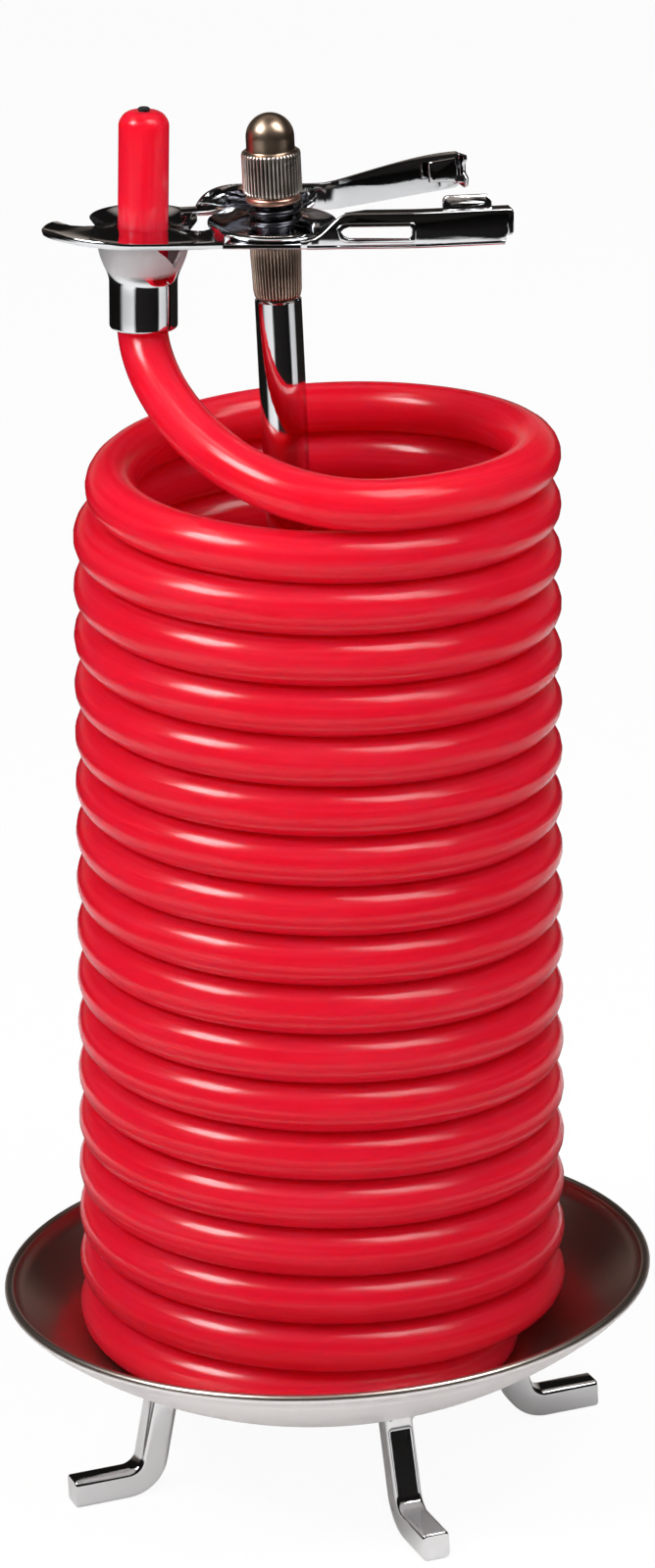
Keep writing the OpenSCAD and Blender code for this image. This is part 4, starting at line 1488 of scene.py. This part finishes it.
    def front_lug(self, bm: bmesh.types.BMesh) -> None:
        """Adds the upright lug that the spring's lower end pushes on.

        Args:
            bm: Mesh that takes it.
        """
        turn = math.radians(self.spring_from)
        way = Vector((-math.sin(turn), math.cos(turn), 0))
        place = self.spring_point(self.spring_from) - (self.spring_leg + 0.4) * way
        outline = [(-0.8, -0.4), (0.8, -0.4), (0.8, 0.7), (0.5, 1.0), (-0.5, 1.0), (-0.8, 0.7)]
        verts = slab(bm, outline, 0.8, edge=0.12)
        matrix = Matrix.Translation((place.x, place.y, 0.2)) @ Matrix.Rotation(turn, 4, "Z")
        for vert in verts:
            vert.co = matrix @ vert.co

    def front_lever(self, material: bpy.types.Material) -> None:
        """Makes the front lever.

        Args:
            material: Its finish.
        """
        bm = bmesh.new()
        self.leaf(bm)
        self.eye(bm)
        self.apron(bm)
        self.front_handle(bm)
        self.front_lug(bm)
        piece = self.finish(bm, "front_clip_lever", material)
        settle(piece, Body.FRONT_JAW, ["front_lever"])

    # ------------------------------------------------ back lever

    def back_lever(self, material: bpy.types.Material) -> None:
        """Makes the back lever.

        Args:
            material: Its finish.
        """
        bm = bmesh.new()
        t = self.wall
        hub_wall, arm_share = 2.3, 0.7
        hub_r = self.bush_r + hub_wall
        web_r = self.eye_r + Vector(self.eye_mid).length + 0.35
        low = -2 * t
        strip_low = 0.7
        # Eye ring below the front lever's eye, with its arm to the back
        half = hub_r * arm_share
        ring = arc((0, 0), hub_r, 45, -225, 40)
        outline = [(half, web_r + t), (half, 6.0), *ring, (-half, 6.0), (-half, web_r + t)]
        hole = arc((0, 0), self.bush_r + self.run_gap, 0, 352.5, 47)
        verts = slab(bm, outline, t - 0.1, [hole], edge=0.1)
        lay_flat(verts, low + t / 2 - 0.05)
        # Web that goes up outside the front lever's eye, and the flat on top of it
        foot, head = low + 0.05, strip_low + t - 0.05
        web = slab(bm, [(-half, foot), (half, foot), (half, head), (-half, head)], t, edge=0.2)
        shift(web, web_r + t / 2)
        outline = [(-half - 1.5, 9.4), (half + 0.8, 9.4), (half, web_r + t), (-half, web_r + t)]
        lay_flat(slab(bm, outline, t, edge=0.15), strip_low + t / 2)
        # Panel from the saucer, behind the post and out into the handle
        lead, mid_run, out_run, high = 7.81, 13.0, 26.97, 5.0
        end = lead + mid_run + out_run
        strip = Strip(
            (-12.6, 7.6), 13.3, ((lead, -13.3, 5.0), (lead + mid_run, 35.3, 6.0)),
            barrel=0.5, barrel_mid=2.9, barrel_half=3.4,
        )
        knee = lead + mid_run
        tail = [(lead, high), (lead * 0.45, high + 0.15), (lead * 0.12, 4.2), (0, 1.9)]
        crest = [(end - 0.6, 6.3), (end - 8, 6.9), (end - 16, 5.9), (knee, high)]
        outline = [(0.0, strip_low), (end - 4, strip_low - 0.2)]
        outline += arc((end - 1.5, strip_low + 1.3), 1.5, -90, 0, 8)
        outline += swing(crest, 16) + swing(tail, 12)
        steps = [1.0 * i for i in range(1, 47)]
        groups = [slab(bm, outline, t, edge=0.2, cuts=steps)]
        # Rounded crest folded over to the front of the handle
        rows = []
        for i in range(34):
            s = knee + 1 + (out_run - 2.2) * i / 33
            top = self.height(crest, (end - 0.6 - s) / (end - 0.6 - knee))
            rows.append((s, top + 0.02, min(1.0, 0.15 + i / 9)))
        groups.append(self.fold(bm, -1, rows))
        # Crest over the tail, with its lobe behind the post
        rows = []
        for i in range(22):
            s = 1.2 + (knee - 3.0) * i / 21
            top = high if s >= lead else self.height(tail, min(1.0, 1 - s / lead))
            rows.append((s, top + 0.02, 0.25 + 0.9 * math.sin(math.pi * i / 21)))
        groups.append(self.fold(bm, -1, rows))
        # Turned end of the handle: a deep fold with a waist
        outline = [
            (0.0, 1.2), (1.9, 0.7), (2.3, 1.1), (2.3, 2.4), (1.5, 3.2), (1.5, 4.6), (2.1, 5.4),
            (2.1, 6.1), (0.0, 6.1),
        ]
        groups.append(slab(bm, outline, t, edge=0.2))
        turn_end(groups[-1], end - t / 2 - 0.05, -1)
        near, far = end - 7.6, end - 2.2
        outline = [(near, 2.6), (far - 0.2, 1.9), (far, 2.4), (far, 5.9), (near, 5.9)]
        groups.append(slab(bm, outline, 0.6, edge=0.18, cuts=steps))
        shift(groups[-1], -1.5)
        for group in groups:
            strip.bend(group)
        # Foot of the tail, down to the saucer
        outline = [(-15.0, 4.6), (-15.2, 8.4), (-5.0, 9.9), (-6.4, 8.2), (-10.6, 5.4)]
        lay_flat(slab(bm, outline, t, edge=0.2), strip_low + t / 2)
        self.saucer(bm)
        piece = self.finish(bm, "back_clip_lever", material)
        settle(piece, Body.BACK_JAW, ["back_lever"])

    @staticmethod
    def height(line: Sequence[tuple[float, float]], share: float) -> float:
        """Height of a curve through a side view, at a share of it."""
        return bezier([Vector((*point, 0)) for point in line], share).y

    def saucer(self, bm: bmesh.types.BMesh) -> None:
        """Adds the back lever's half saucer round the taper.

        Args:
            bm: Mesh that takes it.
        """
        t, r0, r1 = self.wall, self.throat_r + 0.1, self.saucer_r
        section = [
            (r0, -t + 0.12), (r0, -0.12), (r0 + 0.12, 0.0), (r0 + 1.0, 0.02), (r0 + 1.8, 0.22),
            (r1 - 0.9, 0.98), (r1 - 0.4, 1.25), (r1 - 0.1, 1.3), (r1, 1.18), (r1, 0.8),
            (r1 - 0.2, 0.5), (self.cup_flare_r + 0.2, -0.5), (self.cup_flare_r, -t), (r0 + 0.12, -t),
        ]
        gap = math.degrees(self.part_gap / self.throat_r)
        start = self.jaw_turn - 180 + gap
        steps = 72
        angles = [start + (180 - 2 * gap) * i / steps for i in range(steps + 1)]
        loft(bm, [[self.around(r, a, z) for r, z in section] for a in angles])

    # ------------------------------------------------ cups

    def cup_section(self, top: float) -> Profile:
        """Section of the cup's wall, cut off at a height.

        Args:
            top: The height.

        Returns:
            The section, as radius and height.
        """
        low = -self.wall - self.cup_h
        r, w, flare = self.cup_r, self.cup_wall, self.cup_flare_r
        bend = -self.wall - self.cup_flare_h
        waist = -self.wall - self.cup_flare_h * 0.75
        spread = -self.wall - self.cup_flare_h * 0.6
        outer = [(r + w, bend), (r + w, waist), (flare, spread), (flare, -self.wall)]
        inner = [(r, bend), (r, waist), (flare - w, spread), (flare - w, -self.wall)]
        cut = 1.0
        while cut > 0.2 and self.height(outer, cut) > top:
            cut -= 0.01
        wall = [(r + w, low + 0.5 + (bend - low - 0.5) * i / 6) for i in range(6)]
        lip = [
            (r + 0.1, low + 0.4), (r + 0.2, low + 0.1), (r + 0.45, low), (r + w - 0.15, low + 0.08),
            (r + w - 0.02, low + 0.28),
        ]
        inside = [(r, low + 0.7 + (bend - low - 0.7) * i / 6) for i in range(5, -1, -1)]
        return lip + wall + swing(outer, 14, cut) + swing(inner, 14, cut)[::-1] + inside

    def cup(self, name: str, body: Body, node: str, material: bpy.types.Material, front: bool) -> None:
        """Makes one half of the cup below the throat.

        Args:
            name: Name of the piece.
            body: Body that it rides on.
            node: Node that it replaces.
            material: Its finish.
            front: Whether it is the front half, which has the notch beside the leaf.
        """
        gap = math.degrees(self.part_gap / self.cup_r)
        start = self.jaw_turn + gap if front else self.jaw_turn - 180 + gap
        notch_mid, notch_low = 320, -6.1
        right_half, left_half = 33.0, 47.0
        sections, steps = [], 120
        for i in range(steps + 1):
            angle = start + (180 - 2 * gap) * i / steps
            top = -self.wall
            away = (angle - notch_mid) / (right_half if angle > notch_mid else -left_half)
            if front and away < 1:
                top = notch_low + (-self.wall - notch_low) * away**0.9
            sections.append([self.around(r, angle, z) for r, z in self.cup_section(top)])
        bm = bmesh.new()
        loft(bm, sections)
        piece = self.finish(bm, name, material, sharp=50)
        settle(piece, body, [node])

    # ------------------------------------------------ bush and spring

    def bush(self, material: bpy.types.Material) -> None:
        """Makes the pivot bush with its rolled lips.

        Args:
            material: Its finish.
        """
        r, bore, low = self.bush_r, 2.4, -2 * self.wall
        top = low + self.bush_h
        section = [
            (bore, low + 0.3), (bore, top - 0.3), (bore + 0.25, top), (r - 0.2, top), (r, top - 0.2),
            (r, top - 0.6), (r - 0.08, top - 0.7), (r - 0.08, low + 1.6), (r, low + 1.5),
            (r, low + 0.2), (r - 0.2, low), (bore + 0.25, low),
        ]
        piece = self.finish(revolve(section, steps=72, closed=True), "pivot_bushing", material)
        settle(piece, Body.SWIVEL, ["pivot_bush"])

    def spring_point(self, angle: float) -> Vector:
        """Middle of the spring's wire at an angle, in degrees.

        Args:
            angle: Angle in degrees.

        Returns:
            The point.
        """
        turn = math.radians(angle)
        rise = self.wire_r + 0.05 + self.spring_pitch * (angle - self.spring_from) / 360
        return Vector((self.spring_r * math.cos(turn), self.spring_r * math.sin(turn), rise))

    def spring(self, material: bpy.types.Material) -> None:
        """Makes the torsion spring in two halves, both baked in place.

        Args:
            material: Its finish.
        """
        middle = (self.spring_from + self.spring_to) / 2
        steps, wire_sides = 96, 14
        for name, start, end, body in (
            ("torsion_spring_lower", self.spring_from, middle, Body.FRONT_JAW),
            ("torsion_spring_upper", self.spring_to, middle, Body.BACK_JAW),
        ):
            turn = math.radians(start)
            sign = -1 if start < end else 1
            way = Vector((-math.sin(turn), math.cos(turn), 0)) * sign
            first = self.spring_point(start)
            path = [first + way * self.spring_leg * (1 - i / 6) for i in range(6)]
            path += [self.spring_point(start + (end - start) * i / steps) for i in range(steps + 1)]
            bm = bmesh.new()
            sections = []
            for i, point in enumerate(path):
                along = (path[min(i + 1, len(path) - 1)] - path[max(i - 1, 0)]).normalized()
                side = along.cross(UP).normalized()
                up = side.cross(along)
                sections.append([
                    point + self.wire_r * (side * math.cos(a) + up * math.sin(a))
                    for a in [math.tau * k / wire_sides for k in range(wire_sides)]
                ])
            loft(bm, sections)
            piece = self.finish(bm, name, material, sharp=60)
            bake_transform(piece)
            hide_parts("clip_spring")
            LOG.info("%s turns between the swivel and %s", name, body.value)

    def build(
        self, sheet: bpy.types.Material, cups: bpy.types.Material, dark: bpy.types.Material
    ) -> None:
        """Makes the whole clip: levers in one finish, half cups in another, bush and spring dark.

        Args:
            sheet: Finish of the levers.
            cups: Finish of the half cups.
            dark: Finish of the bush and the spring.
        """
        self.front_lever(sheet)
        self.back_lever(sheet)
        self.cup("front_half_cup", Body.FRONT_JAW, "front_cup", cups, True)
        self.cup("back_half_cup", Body.BACK_JAW, "back_cup", cups, False)
        self.bush(dark)
        self.spring(dark)


# ---------------------------------------------------------------- the set


class Light(Enum):
    """What a lamp does: lights the stand, makes highlights on it, or both."""

    BOTH = "both"
    FILL = "fill"
    SHINE = "shine"


@dataclass(frozen=True)
class Softbox:
    """A rectangular lamp that looks at the stand.

    Its way points from the stand to the lamp; sizes and distance are in metres.
    """

    name: str
    way: tuple[float, float, float]
    distance: float
    size: tuple[float, float]
    radiance: float
    light: Light = Light.BOTH
    aim: tuple[float, float, float] = (0.0, 0.0, 0.12)

    def hang(self) -> None:
        """Makes the lamp; its power follows from its face and its brightness."""
        data = bpy.data.lights.new(self.name, "AREA")
        data.shape = "RECTANGLE"
        data.size, data.size_y = self.size
        data.energy = self.radiance * math.pi * self.size[0] * self.size[1]
        lamp = add_object(self.name, data)
        lamp.visible_glossy = self.light is not Light.FILL
        lamp.visible_diffuse = self.light is not Light.SHINE
        aim = Vector(self.aim)
        lamp.location = aim + Vector(self.way).normalized() * self.distance
        lamp.rotation_euler = (aim - lamp.location).to_track_quat("-Z", "Y").to_euler()


@dataclass
class Studio:
    """Camera, floor, lamps and surroundings."""

    picture: tuple[int, int] = (668, 1600)
    focal_px: float = 7484.0
    target: tuple[float, float, float] = (4.06, 0.0, 119.5)
    distance: float = 1200.0
    elevation: float = 19.25
    roll: float = -2.825
    shade_r: float = 0.14
    table_r: float = 0.34
    light_r: float = 0.78
    floor_mm: float = 8000.0
    floor_glow: float = 0.94
    clip: tuple[float, float] = (0.05, 50.0)
    table: str = "DAD9D8"
    daylight: str = "989898"
    lamps: tuple[Softbox, ...] = (
        Softbox("upper_left", (-0.42, 0.02, 0.9), 1.0, (0.3, 0.1), 6.0),
        Softbox("upper_right", (0.33, -0.36, 0.87), 1.0, (0.5, 0.27), 9.5, Light.FILL),
        Softbox("right_sheen", (0.46, -0.28, 0.84), 1.0, (0.42, 0.5), 9.0, Light.SHINE),
        Softbox("side_left", (-0.61, -0.41, 0.67), 0.9, (0.32, 0.17), 27.0, Light.FILL),
        Softbox("left_shine", (-0.6, -0.29, 0.745), 0.9, (0.34, 0.3), 27.0, Light.SHINE),
        Softbox("side_right", (0.74, -0.3, 0.6), 0.9, (0.2, 0.12), 7.0),
        Softbox("front_fill", (0.1, -0.93, 0.36), 1.3, (0.5, 0.5), 2.6, Light.FILL),
    )

    def camera(self) -> None:
        """Stands the camera at the picture's angle."""
        data = bpy.data.cameras.new("camera")
        data.sensor_fit = "AUTO"
        data.sensor_width = 36.0
        data.lens = self.focal_px * data.sensor_width / max(self.picture)
        data.clip_start, data.clip_end = self.clip
        camera = add_object("camera", data)
        e, r = math.radians(self.elevation), math.radians(self.roll)
        back = Vector((0, -math.cos(e), math.sin(e)))
        right = Vector((1, 0, 0))
        up = back.cross(right)
        turned_right = right * math.cos(r) + up * math.sin(r)
        turned_up = up * math.cos(r) - right * math.sin(r)
        axes = Matrix((turned_right, turned_up, back)).transposed().to_4x4()
        place = (Vector(self.target) + back * self.distance) * MM
        camera.matrix_world = Matrix.Translation(place) @ axes
        bpy.context.scene.camera = camera

    @staticmethod
    def turn_share(graph: Graph, way: bpy.types.NodeSocket) -> bpy.types.NodeSocket:
        """Angle of a direction round the stand: 0.5 in front, more to the right, 0 and 1 behind.

        Args:
            graph: The graph that it is added to.
            way: The direction.

        Returns:
            The share, from 0 to 1.
        """
        away = graph.calc("MULTIPLY", graph.axis(way, "Y"), -1.0)
        angle = graph.calc("ARCTAN2", graph.axis(way, "X"), away)
        return graph.calc("MULTIPLY_ADD", angle, 1 / math.tau, 0.5).outputs[0]

    def floor(self) -> None:
        """Lays a pale floor that keeps the stand's shadow.

        Metal mirrors a painted floor: a white table with a painted shadow ring under the dish's edge,
        and a dim room beyond it with painted light at both sides.
        """
        bm = bmesh.new()
        bmesh.ops.create_circle(bm, cap_ends=True, segments=64, radius=self.floor_mm)
        material, graph, shader = new_material("pale_floor")
        place = graph.place()
        away = graph.length(place)
        beyond = graph.span(away, (self.table_r, self.table_r * 1.25), smooth=True)
        turn = self.turn_share(graph, place)
        # Painted light: bright bands on the floor at both sides, dark between them, seen only in
        # reflections
        sides = graph.ramp(turn, [
            (0.26, "1E1C1B"), (0.3, "F4F4F4"), (0.4, "FFFFFF"), (0.425, "262423"),
            (0.635, "1A1919"), (0.655, "FFFFFF"), (0.72, "F4F4F4"), (0.74, "2A2826"),
        ])
        # The painted light on the floor reaches further to the left
        squeezed = graph.calc("MULTIPLY", away, graph.span(turn, (0.41, 0.45), (0.7, 1.0)))
        edge = graph.span(squeezed, (self.light_r, self.light_r * 1.08), smooth=True)
        room = graph.blend(edge, sides, linear("171615"))
        # Painted shadow: a dark ring on the table under the dish's edge, seen only in reflections
        near = graph.ramp(
            graph.span(away, (0.0, self.shade_r * 1.8)),
            [(0.34, "F6F4F2"), (0.44, "6A6867"), (0.56, "6A6867"), (0.9, "F6F6F6")],
        )
        path = graph.add("LightPath")
        mirrored_painted_light_and_shade = graph.blend(beyond, near, room)
        bounced = graph.blend(path.outputs["Is Glossy Ray"], linear(self.table), mirrored_painted_light_and_shade)
        colour = graph.blend(path.outputs["Is Camera Ray"], bounced, WHITE)
        graph.feed(shader, Base_Color=colour, Roughness=0.9, Specular_IOR_Level=0.0)
        share = graph.calc("MULTIPLY", path.outputs["Is Camera Ray"], self.floor_glow)
        glow = graph.add("Emission", None, Color=WHITE, Strength=1.0)
        mix = graph.add("MixShader", None, Fac=share, in1=shader, in2=glow)
        output = next(n for n in graph.tree.nodes if n.type == "OUTPUT_MATERIAL")
        graph.put(output.inputs[0], mix)
        finish_mesh(bm, "floor", material)

    def surroundings(self) -> None:
        """A white background with even light, and a dim room where metal and wax mirror it."""
        world = bpy.data.worlds.new("studio")
        bpy.context.scene.world = world
        world.use_nodes = True
        graph = Graph(world.node_tree)
        background = world.node_tree.nodes["Background"]
        way = graph.place("Generated")
        height = graph.axis(way, "Z")
        room = graph.ramp(height, [
            (0.0, "3A3633"), (0.12, "2A2725"), (0.3, "161514"), (0.66, "161514"),
            (0.78, "ACA29B"), (0.9, "ACA29B"), (0.96, "1C1A19"),
        ])
        sides = graph.ramp(self.turn_share(graph, way), [
            (0.0, "B4A89E"), (0.14, "5A504A"), (0.24, "171514"), (0.76, "1E1D1C"),
            (0.86, "6A605A"), (1.0, "B4A89E"),
        ])
        dim = graph.blend(graph.span(height, (0.06, 0.28), (1.0, 0.0)), room, sides)
        path = graph.add("LightPath")
        bounced = graph.blend(path.outputs["Is Glossy Ray"], linear(self.daylight), dim)
        seen = graph.blend(path.outputs["Is Camera Ray"], bounced, WHITE)
        graph.feed(background, Color=seen, Strength=1.0)

    def build(self) -> None:
        """Sets up everything but the camera."""
        self.floor()
        self.surroundings()
        for lamp in self.lamps:
            lamp.hang()


def dress_node(name: str, material: bpy.types.Material) -> None:
    """Gives a kept node its finish.

    Args:
        name: The node's name.
        material: Its finish.
    """
    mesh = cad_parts[name].data
    mesh.materials.clear()
    mesh.materials.append(material)
    LOG.info("%s keeps its shape, in %s", name, material.name)


def main() -> None:
    """Builds the stand, its taper and the set, in order."""
    logging.basicConfig(level=logging.INFO, format="%(name)s: %(message)s")
    studio = Studio()
    studio.camera()
    chrome_bar = PlatedFinish("chromed_bar", roughness=0.04).build()
    chrome_tube = PlatedFinish("chromed_tube", roughness=0.04).build()
    chrome_sheet = PlatedFinish("chromed_sheet", line_stretch=(0.06, 1, 1)).build()
    chrome_cup = PlatedFinish(
        "chromed_cup", dull_from_mm=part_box("front_cup")[1].z / MM - 7.4
    ).build()
    collar = WornMetalFinish(
        "worn_brass_collar", bright="D2BBA8", dark="3E3029", patch_mm=5, roughness=0.28, grooves=44
    ).build()
    finial = WornMetalFinish(
        "worn_nickel_brass", bright="F2E6DC", dark="4A3B32", patch_mm=5, roughness=0.28, grooves=44,
        knurl_top_mm=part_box("finial")[0].z / MM + 7.0,
    ).build()
    copper = WornMetalFinish(
        "bright_copper", bright="D9A896", dark="B07A68", patch_mm=4, roughness=0.32
    ).build()
    spring = WornMetalFinish("blued_spring_steel", bright="4A4A50", dark="232327").build()
    zinc = WornMetalFinish("zinc_plated_steel", bright="C4C6C8", dark="8F9294").build()

    dish = DripDish()
    dish.build()
    Legs(dish).build(chrome_bar)
    stack = PostStack(dish)
    stack.tube(chrome_tube)
    stack.collar(collar)
    stack.finial(finial)
    stack.washer(copper)
    taper = Taper()
    taper.build(WaxFinish(taper.length()).build())
    taper.wick(WickFinish().build())
    for name in ("tie_rod", "base_washer", "base_nut"):
        dress_node(name, zinc)
    Clip().build(chrome_sheet, chrome_cup, spring)
    studio.build()
    bpy.context.scene.view_settings.view_transform = "Standard"


if __name__ == "__main__":
    main()
